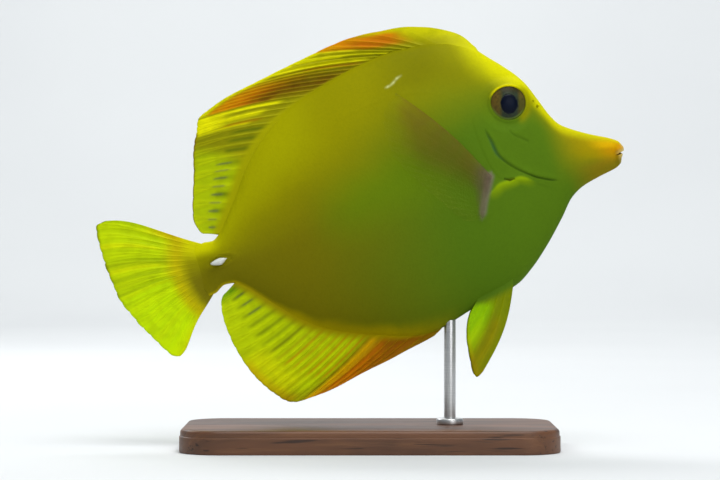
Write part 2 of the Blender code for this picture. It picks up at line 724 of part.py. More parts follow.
def build_flesh(pose, finish):
    """The head, its gill covers, the trunk and the stalk of the tail."""
    whole = flesh_mesh()
    parting = Curve(NAPE_LINE + GILL_LINE + THROAT_LINE, CUT_STEPS)
    head_side = [*parting.shifted(-GAP / 2), (-12.0, -20.0), (-12.0, 66.0)]
    trunk_side = [*parting.shifted(GAP / 2)[::-1], (45.0, 70.0), (STALK_S, 70.0),
                  *stalk_front(-GAP / 2)[::-1], (STALK_S, -60.0), (17.0, -60.0)]
    levels = np.linspace(-26.0, 22.0, 13)
    stalk_side = [*((tail_root_s(h), h) for h in levels), *stalk_front(GAP / 2)[::-1]]
    head = new_object("head", whole.copy(), finish, pose)
    trunk = new_object("trunk", whole.copy(), finish, pose)
    stalk = new_object("tail_stalk", whole.copy(), finish, pose)
    for obj, outline in ((head, head_side), (trunk, trunk_side), (stalk, stalk_side)):
        prism = prism_mesh(obj.name + "_region", outline, lambda s: -WIDE, WIDE)
        boolean(obj, "INTERSECT", cutter_object(prism, pose))
    boolean(head, "DIFFERENCE", mouth_cutter(pose))
    for side, word in ((-1, "right"), (1, "left")):
        rim = cutter_object(rim_mesh("rim_" + word), pose)
        turned_outward(rim, *eye_frame(side))
        boolean(head, "UNION", rim)
    for side, word in ((-1, "right"), (1, "left")):
        gill_cover(whole, word, side, head, finish, pose)
        centre, outward = eye_frame(side)
        socket = drum_mesh("socket_" + word, EYE_RADIUS + GAP, -EYE_DEPTH - GAP, 9.0, EYE_SIDES)
        socket = cutter_object(socket, pose)
        turned_outward(socket, centre, outward)
        boolean(head, "DIFFERENCE", socket)
        for s, h, radius in NOSTRILS:
            pit = drum_mesh("nostril", radius, -NOSTRIL_DEPTH, 3.0, NOSTRIL_SIDES)
            pit = cutter_object(pit, pose)
            turned_outward(pit, point(s, side * float(half_width(s, h)), h), outward)
            boolean(head, "DIFFERENCE", pit)
        groove = cutter_object(scalpel_mesh("groove_" + word, GAP), pose)
        scalpel_at(groove, side)
        boolean(stalk, "DIFFERENCE", groove)
    hole = cutter_object(drum_mesh("rod_socket", ROD_RADIUS + GAP, 0.0, ROD_TOP + GAP, ROD_SIDES), None)
    hole.location.x = ROD_X * MM
    boolean(trunk, "DIFFERENCE", hole)
    for obj in (head, trunk, stalk):
        smooth(obj)


def build_fins(pose, finish):
    """The three fins in the middle plane, and the two pairs."""
    dorsal = fin_mesh(
        "dorsal_fin", ray_columns(DORSAL_SPINES, DORSAL_RAYS), 7, dorsal_middle,
        lambda u: float(smooth_between(CREST, DORSAL_FROM + (DORSAL_TO - DORSAL_FROM) * u)),
    )
    anal = fin_mesh(
        "anal_fin", ray_columns(ANAL_SPINES, ANAL_RAYS), 7, anal_middle,
        lambda u: float(smooth_between(CREST, ANAL_FROM + (ANAL_TO - ANAL_FROM) * u)),
    )

    def stalk_half(u):
        bottom, _, top = section_limits(TAIL_ROOT_S - 3.0)
        h = top + (bottom - top) * (0.04 + 0.92 * u)
        return max(float(half_width(tail_root_s(h), h)), 0.6)

    tail = fin_mesh("tail_fin", ray_columns(0, TAIL_RAYS), 7, tail_middle, stalk_half)
    for mesh in (dorsal, anal, tail):
        new_object(mesh.name, mesh, finish, pose)
    for side, word in ((-1, "right"), (1, "left")):
        pectoral = fin_mesh(
            "pectoral_fin_" + word, ray_columns(1, PECTORAL_RAYS - 1), 6, pectoral_middle(side),
            lambda u: PECTORAL_ROOT,
        )
        pelvic = fin_mesh(
            "pelvic_fin_" + word, ray_columns(1, PELVIC_RAYS), 6, pelvic_middle(side),
            lambda u: PELVIC_ROOT,
        )
        new_object(pectoral.name, pectoral, finish, pose)
        new_object(pelvic.name, pelvic, finish, pose)


def build_eyes_and_blades(pose, dark, white):
    for side, word in ((-1, "right"), (1, "left")):
        eye = new_object("eye_" + word, eye_mesh("eye", EYE_RADIUS, EYE_DOME, EYE_DEPTH), dark, pose)
        turned_outward(eye, *eye_frame(side))
        blade = new_object("scalpel_" + word, scalpel_mesh("scalpel", 0.0), white, pose)
        scalpel_at(blade, side)


def build_stand(wood, steel):
    base = new_object("stand_base", base_mesh(), wood)
    hole = cutter_object(
        drum_mesh("base_socket", ROD_RADIUS + GAP, BASE_THICKNESS - ROD_SOCKET - GAP, 20.0, ROD_SIDES), None
    )
    hole.location.x = ROD_X * MM
    boolean(base, "DIFFERENCE", hole)
    smooth(base)
    rod = drum_mesh("stand_rod", ROD_RADIUS, BASE_THICKNESS - ROD_SOCKET, ROD_TOP, ROD_SIDES)
    rod = new_object("stand_rod", rod, steel)
    rod.location.x = ROD_X * MM


clear_scene()
DORSAL_EDGE = Curve(DORSAL_MARGIN)
ANAL_EDGE = Curve(ANAL_MARGIN)
TAIL_EDGE = Curve(TAIL_MARGIN)
PECTORAL_EDGE = Curve(PECTORAL_MARGIN)
PECTORAL_ROOT_LINE = Curve(PECTORAL_BASE)
PELVIC_EDGE = Curve(PELVIC_MARGIN)

pose = bpy.data.objects.new("pose", None)
bpy.context.scene.collection.objects.link(pose)
pose.location = (SNOUT_X * MM, 0.0, SNOUT_Z * MM)
pose.rotation_euler = (0.0, -PITCH, 0.0)

skin = material("skin", YELLOW, 0.5)
fin = material("fin", FIN_YELLOW, 0.45)
build_flesh(pose, skin)
build_fins(pose, fin)
build_eyes_and_blades(pose, material("eye", DARK, 0.1), material("blade", WHITE, 0.35))
build_stand(material("wood", WOOD, 0.45), material("steel", STEEL, 0.25, 1.0))
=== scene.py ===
"""The looks of a yellow tang on its display stand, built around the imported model.

The fish is drawn in its own frame, in millimetres: s runs back from the tip of the snout, y to
its left, h up towards the back. Each mesh is then turned into the world, where it swims nose up.
"""

import math

import bpy
import numpy as np
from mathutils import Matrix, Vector


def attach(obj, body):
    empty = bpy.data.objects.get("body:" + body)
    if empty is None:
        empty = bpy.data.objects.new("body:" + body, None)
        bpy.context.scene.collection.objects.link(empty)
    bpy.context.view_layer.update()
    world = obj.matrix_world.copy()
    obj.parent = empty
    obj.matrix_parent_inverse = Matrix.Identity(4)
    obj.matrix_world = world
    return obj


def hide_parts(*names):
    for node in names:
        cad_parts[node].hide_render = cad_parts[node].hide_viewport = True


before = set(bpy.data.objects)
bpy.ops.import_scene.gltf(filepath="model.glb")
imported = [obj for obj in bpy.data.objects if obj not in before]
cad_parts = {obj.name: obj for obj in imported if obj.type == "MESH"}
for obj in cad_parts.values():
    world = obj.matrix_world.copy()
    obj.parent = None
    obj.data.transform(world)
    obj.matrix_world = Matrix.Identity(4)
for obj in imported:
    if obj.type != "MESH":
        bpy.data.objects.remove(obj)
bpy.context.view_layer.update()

MM = 0.001
RIGHT, LEFT = -1, 1
SIDES = ((RIGHT, "right"), (LEFT, "left"))

# How the fish hangs over the stand
PITCH = math.radians(15.0)
SNOUT_X = 87.0
SNOUT_Z = 101.5

# The outline of the flesh, seen from the side, as (s, h)
BACK = [
    (0, 3.5), (3.2, 5.6), (9.6, 8.8), (15.7, 12.4), (18.9, 14.9), (21.1, 18.3), (24, 25.4),
    (27.1, 32.3), (32.2, 38.8), (36.8, 43.6), (40.4, 47.4), (44.1, 49.9), (49, 51.8), (57, 53.2),
    (69, 53.6), (80, 52.1), (97.5, 47.7), (107.3, 44.2), (114.8, 40), (121.3, 34.8), (126.8, 28.6),
    (131.5, 21.6), (135.5, 16), (138.7, 11.6), (141.5, 8.4), (144.2, 6.9), (147.5, 7.3), (151, 9),
    (158, 13),
]
BELLY = [
    (0, -3), (3.6, -4.7), (10.1, -6.1), (16.5, -7.9), (20.8, -10.4), (26.2, -16.5), (33.4, -24.1),
    (40.5, -30.4), (46.4, -34.3), (54, -36.6), (62, -38.2), (72, -41.2), (79.5, -43), (86, -42.6),
    (96, -39.9), (106, -36.5), (115.7, -32), (122, -27.2), (128, -21.2), (133, -15.6), (137, -11.4),
    (140.5, -9), (143.5, -8.7), (148, -11.3), (158, -18.5),
]
# Level of the widest point, and the half width there without the crest
WIDEST_LEVEL = [
    (0, 0.2), (10, 1), (20, 3), (30, 7.5), (42, 9.5), (60, 8), (80, 6), (100, 3), (120, 1),
    (140, -0.5), (158, -2),
]
HALF_WIDTH = [
    (0, 2.1), (1.7, 2.45), (3.2, 2.05), (4.6, 2.25), (10, 3), (20, 4.6), (30, 6.7), (36, 7.8),
    (45, 9.3), (55, 10.6), (65, 11.4), (75, 11.7), (85, 11.5), (95, 10.7), (105, 9.5), (115, 7.9),
    (125, 6.1), (135, 4.4), (142, 3.5), (150, 2.2), (158, 0.9),
]
# How quickly a section narrows above and below that level: 0.5 is an ellipse, 1 is a lens
BACK_SHARPNESS = [(0, 0.5), (20, 0.5), (36, 0.57), (46, 0.76), (62, 0.8), (110, 0.78), (158, 0.6)]
BELLY_SHARPNESS = [(0, 0.5), (20, 0.55), (50, 0.62), (75, 0.66), (110, 0.76), (158, 0.6)]
# Half width of the ridge that the middle fins stand on, and how late it rounds off
CREST = [(0, 0.15), (34, 0.4), (45, 0.9), (138, 0.9), (146, 0.8), (158, 0.4)]
CREST_ROUNDING = 30
SNOUT_ROUNDING = 2.4
SNOUT_BLUNTNESS = 4.4
CHIN_SETBACK = 1.3

# The skin's mesh: rings round the snout's end, then from s, up to s, step; and points on a side
SNOUT_RINGS = 40
STALK_FROM = 136
SKIN_TO = 152.6
RING_RUNS = [
    (2.4, 6, 0.12), (6, 23, 0.32), (23, 42, 0.16), (42, 56, 0.26), (56, STALK_FROM, 0.75),
    (STALK_FROM, SKIN_TO, 0.3),
]
SIDE_POINTS = 250
EVEN_SHARE = 0.6

# The wrist of the tail, where scales end and the tail fin begins
TAIL_ROOT_S = 153.0
TAIL_ROOT_H = -2.0
TAIL_ROOT_BOW = 0.03
TAIL_TAPER_FROM = 140.0
TAIL_END_HALF = 0.42
TAIL_ROOT_HALF = 0.8

# Lines of the head, from the top down and forward
GILL_LINE = [
    (47.2, 27), (47.6, 23.6), (47.6, 18), (46.9, 12), (45.7, 6.4), (43.6, 2.2), (40.7, 0.6),
    (36, -1), (31, -3.4), (26, -7),
]
CHEEK_LINE = [
    (44.7, 22.4), (44.3, 18.4), (43.4, 14.6), (42.7, 10.6), (41.2, 7.9), (38.1, 4.3), (34.9, 1.6),
    (31.3, -0.9), (27.5, -2.7), (25, -3.6),
]
CHEEK_FOLD = [(36.7, 17.5), (35.2, 14.9), (32.8, 13), (30.6, 11.2)]
GILL_CORNER = [(42.4, 1.4), (40.8, 0.8), (39.2, 0.7)]
SHOULDER_RIDGE = [
    (47, -0.9), (44.8, 0.4), (42.2, 0.7), (39.4, 0.8), (37.2, 1), (34.6, -0.2), (32, -2.6),
    (28, -6),
]
SENSE_LINE = [
    (48, 29.5), (58, 36), (72, 38.6), (90, 35.6), (106, 27.6), (120, 17), (131, 7.5), (140, 2.6),
    (151, 1),
]

# The eye: its place, radius at the skin, height of its dome, depth and turn
EYE_S = 34.2
EYE_H = 26.5
EYE_RADIUS = 5.9
EYE_DOME = 1.9
EYE_DEPTH = 2.6
EYE_YAW = math.radians(9)
EYE_HOOD = 0.19
PUPIL_AHEAD = -0.15
PUPIL_BELOW = 0.85
PUPIL_WIDE = 3.0
PUPIL_TALL = 3.3

NOSTRILS = [(24.7, 22.4, 0.42), (25.7, 24.6, 0.3)]
MOUTH_CORNER_S = 3.1
MOUTH_LINE = [(0, -0.2), (1.2, -0.36), (MOUTH_CORNER_S, -0.6)]
MOUTH_DEPTH = 1.25

# The white spine folded into each side of the tail stalk, and the groove that it lies in
SCALPEL_S = 142.9
SCALPEL_H = -0.5
SCALPEL_LENGTH = 7.2
SCALPEL_HEIGHT = 2.6
SCALPEL_THICKNESS = 1.5
SCALPEL_PROUD = 0.75
SCALPEL_TILT = math.radians(4)

# Heights and depths of the folds and rims over the plain skin
EYE_RIM_RISE = 0.26
BROW_RISE = 0.75
SOCKET_DEPTH = 2.9
GILL_RISE = 0.07
GROOVE_DEPTH = 0.45
CHEEK_RISE = 0.2
FOLD_DEPTH = 0.2
CORNER_DEPTH = 0.6
SHOULDER_RISE = 0.5
NOSTRIL_RISE = 0.16
NOSTRIL_DEPTH = 0.75
UPPER_LIP_RISE = 0.36
LOWER_LIP_RISE = 0.2
STRIP_RISE = 0.45
SENSE_RISE = 0.06
SENSE_PORES = 62
BLADE_RIM_RISE = 0.12
BLADE_GROOVE_DEPTH = 0.35
SCRATCH_DEPTH = 0.1

# A healed scratch high on the right flank
SCRATCH = [(72.8, 42), (71.3, 42.3), (69.9, 43.2), (68.6, 44.1), (67.5, 44.5)]

# Fins
DORSAL_SPINES = 5
DORSAL_RAYS = 24
DORSAL_FROM = 40.2
DORSAL_TO = 140.6
DORSAL_LEAD = 2.4
DORSAL_MARGIN = [
    (38.6, 46.1), (39.5, 47.6), (40.6, 49.1), (42.1, 51.5), (44.4, 53.9), (49.7, 56.9), (55, 59.1),
    (62, 60.9), (70, 61.6), (77, 62), (85, 61.5), (99.6, 58.9), (113.7, 56), (126.2, 53.3),
    (134.4, 50.4), (138, 48.4), (139.6, 44.4), (142.4, 38.5), (144.2, 31.5), (146, 25.5),
    (147.8, 19.5), (148.4, 15), (147.2, 10.9), (144.4, 8.9),
]
DORSAL_TIPS = [
    (0, 0.012), (0.07, 0.2), (0.14, 0.33), (0.25, 0.46), (0.35, 0.57), (0.5, 0.677), (0.6, 0.721),
    (0.7, 0.755), (0.8, 0.804), (0.9, 0.883), (1, 0.985),
]
ANAL_SPINES = 3
ANAL_RAYS = 20
ANAL_FROM = 80.5
ANAL_TO = 139.4
ANAL_LEAD = 8.0
ANAL_MARGIN = [
    (77, -43.7), (83.1, -45.3), (89.8, -46.7), (96, -48.2), (106, -50.2), (117, -52.8),
    (126.5, -53.8), (131.5, -53.7), (135.8, -50.7), (141.3, -43.2), (144.9, -34.6), (147, -24.6),
    (147.2, -18), (146, -13), (143.6, -10.9),
]
ANAL_TIPS = [
    (0, 0.02), (0.05, 0.18), (0.08, 0.28), (0.15, 0.385), (0.22, 0.455), (0.3, 0.51), (0.4, 0.564),
    (0.5, 0.618), (0.6, 0.68), (0.72, 0.773), (0.82, 0.858), (0.9, 0.92), (1, 0.987),
]
TAIL_RAYS = 17
TAIL_ROOT_TOP = 5.9
TAIL_ROOT_LOW = -8.8
TAIL_SUNK = 5.2
TAIL_MARGIN = [
    (177.7, 23), (179.8, 22.8), (181.3, 21.9), (181.8, 18.8), (181.9, 12), (181.3, 5),
    (179.8, -4.6), (175.7, -14.3), (171.1, -22.2), (168.6, -26.2), (166.9, -28), (164.8, -28.4),
]
TAIL_TOP_BOW = 1.85
TAIL_LOW_BOW = 0.8
TAIL_SHEATH = 9.0
PECTORAL_RAYS = 15
PECTORAL_BASE = [(46.4, 3.4), (48.6, -0.6), (50.9, -5), (52.6, -9.2)]
PECTORAL_MARGIN = [
    (70.6, 38.6), (74.6, 35.6), (77.4, 29.5), (77.6, 21.5), (74.6, 13.5), (69.5, 5.4), (64.2, -2.2),
    (59.6, -8.6),
]
PECTORAL_SPREAD = 0.2
PECTORAL_BOW = 1.6
PECTORAL_ROOT_OUT = 0.9
PELVIC_RAYS = 6
PELVIC_FROM = 47.5
PELVIC_TO = 61.0
PELVIC_ROOT_Y = 2.6
PELVIC_MARGIN = [
    (66.2, -60), (68.7, -61.4), (69.3, -58.8), (69.1, -54), (68.5, -48.2), (66.8, -42.8),
    (64.9, -39.4),
]
PELVIC_SPREAD = 0.1
PELVIC_BOW = 2.3
ROOT_SINK = 1.3
FIN_SHEATH = 4.2

# Half thickness of a fin's membrane, and what a ray or a spine adds to it at the root
MEMBRANE = 0.11
RAY_RISE = 0.3
SPINE_RISE = 0.42
RAY_SAMPLES = 16

# The stand
BASE_LENGTH = 128.0
BASE_WIDTH = 66.0
BASE_THICKNESS = 8.0
BASE_CORNER = 14.0
BASE_BEVEL = 1.2
BASE_FOOT_EDGE = 0.45
BASE_STEP = 0.35
ROD_X = 27.5
ROD_RADIUS = 2.0
ROD_TOP = 44.0
ROD_FOOT = 4.0


def srgb(red, green, blue):
    """A colour given as 0 to 255 in each channel, as the linear colour a shader takes."""
    shares = (c / 255 for c in (red, green, blue))
    return tuple(c / 12.92 if c <= 0.04045 else ((c + 0.055) / 1.055) ** 2.4 for c in shares)


PAINTED_SUNLIT_YELLOW = srgb(204, 201, 1)
LID_HIGHLIGHT_YELLOW = srgb(232, 220, 4)
BACK_OLIVE = srgb(141, 137, 1)
SHADED_FLANK_GREEN = srgb(80, 112, 16)
BAND_GREEN = srgb(98, 126, 8)
FLANK_OLIVE = srgb(115, 108, 6)
BELLY_PAINTED_LIGHT_GOLD = srgb(168, 152, 2)
SNOUT_GOLD = srgb(152, 134, 2)
SNOUT_ORANGE = srgb(192, 136, 1)
SNOUT_HIGHLIGHT_AMBER = srgb(226, 180, 1)
NAPE_OLIVE = srgb(112, 112, 1)
REAR_OLIVE = srgb(162, 160, 1)
JAW_OLIVE = srgb(128, 114, 14)
LIP_CREAM = srgb(198, 176, 104)
MOUTH_SLIT_SHADE = srgb(52, 18, 10)
SOCKET_SHADE_DARK = srgb(66, 62, 12)
PIT_SHADE_DARK = srgb(44, 50, 2)
GROOVE_TEAL_SHADE = srgb(34, 80, 58)
SPECKLE_AND_CREASE_SHADE_GREEN = srgb(36, 62, 8)
SHOULDER_HIGHLIGHT_LIME = srgb(140, 166, 2)
STRIP_LILAC = srgb(118, 108, 92)
SCRATCH_PALE = srgb(206, 212, 140)

FIN_LIME = srgb(168, 204, 1)
FIN_YELLOW = srgb(226, 222, 1)
FIN_OLIVE = srgb(146, 142, 3)
FIN_ORANGE = srgb(192, 110, 1)
FIN_BROWN = srgb(112, 76, 5)
DORSAL_LIME = srgb(166, 184, 2)
ANAL_LIME = srgb(192, 214, 1)
TAIL_LIME = srgb(184, 208, 1)
FIN_SHADE = srgb(84, 100, 4)
FIN_GREEN = srgb(88, 146, 4)
FIN_GOLD = srgb(228, 170, 1)
FIN_AMBER = srgb(224, 150, 1)
FIN_LIT_GLOW = srgb(200, 238, 1)
TAIL_RIM = srgb(88, 84, 4)
PELVIC_OLIVE = srgb(118, 130, 3)
PELVIC_LIME = srgb(138, 186, 1)
PECTORAL_SHADE_BROWN = srgb(118, 80, 30)
PECTORAL_CLEAR = srgb(120, 120, 24)
SLIT_GREY = srgb(92, 108, 56)

IRIS_BROWN = srgb(80, 76, 28)
IRIS_ORANGE = srgb(92, 74, 27)
IRIS_BROW_SHADOW = srgb(52, 44, 12)
IRIS_DARK = srgb(40, 38, 24)
IRIS_FLECK = srgb(120, 108, 56)
PUPIL_BLUE = srgb(5, 11, 27)
PUPIL_HAZE = srgb(12, 22, 42)
IRIS_TEAL = srgb(36, 52, 44)
IRIS_RIM = srgb(96, 116, 44)
BLADE_WHITE = srgb(214, 218, 214)
BLADE_CREAM = srgb(200, 196, 150)

WOOD_BROWN = srgb(62, 38, 24)
WOOD_RED = srgb(104, 66, 40)
WOOD_PALE = srgb(132, 90, 56)
WOOD_PORE = srgb(24, 14, 9)
STEEL_DARK = srgb(176, 177, 178)
STEEL_PALE = srgb(214, 214, 212)
PAPER_PALE = srgb(222, 224, 224)
PAPER_GREY = srgb(212, 214, 215)


def smooth_between(table, at):
    """A smooth curve through a table of (position, value) that never overshoots its values."""
    x, y = np.array(table, float).T
    step = np.diff(x)
    slope = np.diff(y) / step
    tangent = np.zeros_like(y)
    tangent[0], tangent[-1] = slope[0], slope[-1]
    for i in range(1, len(x) - 1):
        if slope[i - 1] * slope[i] > 0:
            before, after = 2 * step[i] + step[i - 1], step[i] + 2 * step[i - 1]
            tangent[i] = (before + after) / (before / slope[i - 1] + after / slope[i])
    at = np.clip(np.asarray(at, float), x[0], x[-1])
    i = np.clip(np.searchsorted(x, at, side="right") - 1, 0, len(x) - 2)
    t = (at - x[i]) / step[i]
    return (
        y[i] * (1 + 2 * t) * (1 - t) ** 2
        + y[i + 1] * t * t * (3 - 2 * t)
        + step[i] * t * (1 - t) * (tangent[i] * (1 - t) - tangent[i + 1] * t)
    )


class Curve:
    """A smooth plane curve through points, read by its share of length."""

    def __init__(self, points, steps=8):
        points = np.array(points, float)
        ends = np.vstack([2 * points[0] - points[1], points, 2 * points[-1] - points[-2]])
        dense = []
        for a, b, c, d in zip(ends[:-3], ends[1:-2], ends[2:-1], ends[3:]):
            for t in np.arange(steps) / steps:
                dense.append(
                    0.5 * (2 * b + (c - a) * t + (2 * a - 5 * b + 4 * c - d) * t * t
                           + (3 * b - a - 3 * c + d) * t ** 3)
                )
        dense.append(points[-1])
        self.points = np.array(dense)
        lengths = np.linalg.norm(np.diff(self.points, axis=0), axis=1)
        self.share = np.concatenate([[0], np.cumsum(lengths)]) / lengths.sum()

    def at(self, share):
        return tuple(np.interp(share, self.share, self.points[:, k]) for k in range(2))

    def beside(self, s, h):
        """For places (s, h): signed distance, above 0 to the curve's left, and share along it."""
        nearest = np.full(s.shape, 1e9)
        signed = np.full(s.shape, 1e9)
        share = np.zeros(s.shape)
        for a, b, start, end in zip(self.points, self.points[1:], self.share, self.share[1:]):
            along = b - a
            t = np.clip(((s - a[0]) * along[0] + (h - a[1]) * along[1]) / (along @ along), 0, 1)
            ds, dh = s - a[0] - t * along[0], h - a[1] - t * along[1]
            distance = np.hypot(ds, dh)
            closer = distance < nearest
            nearest = np.where(closer, distance, nearest)
            turned = np.sign(along[0] * dh - along[1] * ds)
            signed = np.where(closer, distance * np.where(turned == 0, 1, turned), signed)
            share = np.where(closer, start + t * (end - start), share)
        return signed, share


def eased(value, low, high):
    """0 below low, 1 above high and a smooth rise between; low may be above high."""
    t = np.clip((value - low) / (high - low), 0, 1)
    return t * t * (3 - 2 * t)


def most(*layers):
    """The greatest of several masks at each place."""
    return np.maximum.reduce(np.broadcast_arrays(*layers))


def bell(value, width):
    """1 at 0, falling off smoothly on both sides."""
    return np.exp(-((value / width) ** 2))


def between(value, low, high, soft):
    """1 from low to high, with soft ends outside them."""
    return eased(value, low - soft, low) * eased(value, high + soft, high)


def in_world(places):
    """Places on the fish in millimetres, as (s, y, h), turned into the world in metres."""
    s, y, h = np.moveaxis(np.asarray(places, float), -1, 0)
    x = SNOUT_X - s * math.cos(PITCH) - h * math.sin(PITCH)
    z = SNOUT_Z - s * math.sin(PITCH) + h * math.cos(PITCH)
    return np.stack([x, y, z], axis=-1) * MM


def new_piece(name, places, faces, finish, slot, replaced=(), marks=()):
    """A smooth mesh piece in the world, in metres, that rides on the fish's only body."""
    mesh = bpy.data.meshes.new(name)
    mesh.from_pydata(np.asarray(places).reshape(-1, 3).tolist(), [], faces)
    for mark, values in dict(marks).items():
        layer = mesh.attributes.new(mark, "FLOAT", "POINT")
        layer.data.foreach_set("value", np.ascontiguousarray(values, np.float32).ravel())
    mesh.validate()
    mesh.shade_smooth()
    mesh.materials.append(finish)
    piece = bpy.data.objects.new(name, mesh)
    bpy.context.scene.collection.objects.link(piece)
    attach(piece, "root")
    if replaced:
        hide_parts(*replaced)
    return piece


def loft_faces(rings, points, closed=True):
    """Faces between rings of points, in rows."""
    i = np.arange(rings - 1)[:, None]
    j = np.arange(points if closed else points - 1)[None, :]
    k = (j + 1) % points
    near, far = i * points, (i + 1) * points
    return np.stack([near + j, near + k, far + k, far + j], -1).reshape(-1, 4).tolist()


# The flesh


def round_off(s):
    """Share of the full section at s, which closes the snout in a round end."""
    near = np.clip(s / SNOUT_ROUNDING, 0, 1)
    return (1 - (1 - near) ** SNOUT_BLUNTNESS) ** (1 / SNOUT_BLUNTNESS)


def section_limits(s):
    """(lowest, widest, highest) level of the flesh at s."""
    middle = smooth_between(WIDEST_LEVEL, s)
    share = round_off(s)
    top = middle + (smooth_between(BACK, s) - middle) * share
    bottom = middle + (smooth_between(BELLY, s) - middle) * share
    return bottom, middle, top


def half_width(s, h):
    """Distance from the middle plane to the plain skin at (s, h)."""
    bottom, middle, top = section_limits(s)
    upper = h >= middle
    reach = np.where(upper, top - middle, middle - bottom)
    level = np.clip(np.abs(h - middle) / np.maximum(reach, 1e-6), 0, 1)
    power = np.where(upper, smooth_between(BACK_SHARPNESS, s), smooth_between(BELLY_SHARPNESS, s))
    body = smooth_between(HALF_WIDTH, s) * (1 - level ** 2) ** power
    crest = smooth_between(CREST, s) * np.sqrt(1 - level ** CREST_ROUNDING)
    taper = 1 - eased(s, TAIL_TAPER_FROM, TAIL_ROOT_S) * (
        1 - TAIL_END_HALF / np.maximum(body + crest, TAIL_END_HALF))
    return (body + crest) * round_off(s) * np.where(level < 1, taper, 1)


def tail_root_s(h):
    """Where the flesh of the tail ends and its fin begins."""
    return TAIL_ROOT_S - TAIL_ROOT_BOW * (h - TAIL_ROOT_H) ** 2


def eye_axes(side):
    """An eye's centre and its ahead, up and outward directions, as (s, y, h)."""
    centre = np.array([EYE_S, side * float(half_width(EYE_S, EYE_H)), EYE_H])
    ahead = np.array([-math.cos(EYE_YAW), -side * math.sin(EYE_YAW), 0])
    outward = np.array([-math.sin(EYE_YAW), side * math.cos(EYE_YAW), 0])
    return centre, ahead, np.array([0, 0, 1]), outward


def eye_setting(s, y, h):
    """The skin's distance from the middle near an eye: a raised rim with a socket inside it."""
    centre, _, _, _ = eye_axes(LEFT)
    across = (s - EYE_S) * math.cos(EYE_YAW) + (y - centre[1]) * math.sin(EYE_YAW)
    radius = np.hypot(across, h - EYE_H)
    over = np.clip((h - EYE_H) / np.maximum(radius, 1e-6), 0, 1)
    radius = radius * (1 + EYE_HOOD * over ** 2)
    rim = EYE_RIM_RISE * bell(radius - 6.65, 0.55)
    rim += BROW_RISE * over ** 1.5 * bell(radius - 6.8, 0.7)
    rim -= 0.12 * over * bell(radius - 8.6, 0.8)
    socket = -SOCKET_DEPTH * eased(radius, 6.2, 5.3)
    plane = centre[1] + (rim + socket + (s - EYE_S) * math.sin(EYE_YAW)) / math.cos(EYE_YAW)
    return y + (plane - y) * eased(radius, 11, 6.9), radius


def mouth_level(s):
    """Level of the slit between the lips."""
    return smooth_between(MOUTH_LINE, s)


def scalpel_place(s, h):
    """Places on the tail stalk in the blade's own frame: ahead and above its centre."""
    ahead, above = SCALPEL_S - s, h - SCALPEL_H
    turn = SCALPEL_TILT
    return (ahead * math.cos(turn) + above * math.sin(turn),
            above * math.cos(turn) - ahead * math.sin(turn))


def head_relief(s, h, marks):
    """Height of the head's folds over the plain skin. Fills the marks that its colours need."""
    # The gill cover stands proud of the shoulder behind it
    beside, share = Curve(GILL_LINE).beside(s, h)
    strength = between(share, 0.14, 0.86, 0.14)
    behind = eased(beside, -0.35, 0.35)
    step = (1 - behind) * bell(beside, 3.4) - behind * bell(beside, 2.2)
    height = GILL_RISE * strength * step

    # The groove along the cheek's lower edge
    beside, share = Curve(CHEEK_LINE).beside(s, h)
    strength = between(share, 0.16, 0.93, 0.1)
    blue = bell(share - 0.29, 0.13)
    wide = 0.26 + 0.3 * blue
    height += strength * CHEEK_RISE * bell(beside + 1, 0.9) * (beside < 0)
    height -= strength * GROOVE_DEPTH * bell(beside, wide)
    line = strength * bell(beside, wide)
    # The upper groove is teal, darkened with painted shade.
    marks["groove"] += 0.6 * line * blue
    # Painted shade darkens the groove where it is not teal.
    marks["crease"] += line * (0.35 + 0.55 * eased(share, 0.55, 0.8)) * (1 - blue)

    beside, share = Curve(CHEEK_FOLD).beside(s, h)
    strength = between(share, 0.12, 0.88, 0.12)
    height -= FOLD_DEPTH * strength * bell(beside, 0.5)
    # Painted shade in the fold.
    marks["crease"] += 0.25 * strength * bell(beside, 0.5)

    # The dark corner of the gill opening in painted shadow, over the ridge of the shoulder with its
    # painted highlight
    beside, share = Curve(GILL_CORNER).beside(s, h)
    corner = bell(beside - 0.2 * bell(share - 0.55, 0.2), 0.2 + 0.22 * bell(share - 0.55, 0.24))
    height -= CORNER_DEPTH * corner
    marks["spot"] += 0.85 * corner
    beside, share = Curve(SHOULDER_RIDGE).beside(s, h)
    strength = between(share, 0.1, 0.52, 0.28)
    height += SHOULDER_RISE * strength * bell(beside - 0.6, 1.8)
    # Painted highlight: the lit top of the shoulder ridge.
    marks["ridge"] += strength * eased(beside, -0.5, 0.5) * eased(beside, 4.4 - 1.4 * share, 0.4)

    # Nostrils
    for pit_s, pit_h, radius in NOSTRILS:
        away = np.hypot(s - pit_s, h - pit_h)
        pit = np.exp(-(away / radius) ** 4)
        height += NOSTRIL_RISE * bell(away - radius * 1.5, 0.28) - NOSTRIL_DEPTH * pit
        # The nostril pits are darkened with painted shade.
        marks["spot"] += 0.7 * pit
    return height


def mouth_relief(s, h, marks):
    """Two lips on the end of the snout, a little apart, with the slit between them."""
    over = h - mouth_level(s)
    fade = eased(s, MOUTH_CORNER_S, MOUTH_CORNER_S - 0.9)
    wide = 0.1 + 0.24 * eased(s, MOUTH_CORNER_S, 0)
    slit = fade * np.exp(-((over / wide) ** 4))
    upper, lower = UPPER_LIP_RISE * bell(over - 1.5, 0.95), LOWER_LIP_RISE * bell(over + 1.2, 0.9)
    lips = np.where(over > 0, upper, lower) * eased(s, 4.4, 1.2)
    # The slit between the lips is darkened with painted shade.
    marks["mouth"] += slit
    marks["lip"] += np.where(over > 0, eased(s, 3.4, 1), 0.7 * eased(s, 2.2, 0.6)) * bell(
        np.abs(over) - 0.7, 0.7)
    marks["lip"] += np.where(over > 0, 0.6 * eased(s, 1.1, 0.3), 0.4 * eased(s, 2.4, 1))
    return lips - MOUTH_DEPTH * slit - 0.07 * bell(s - 4.2, 0.6) * between(over, -2.6, 2.6, 1)


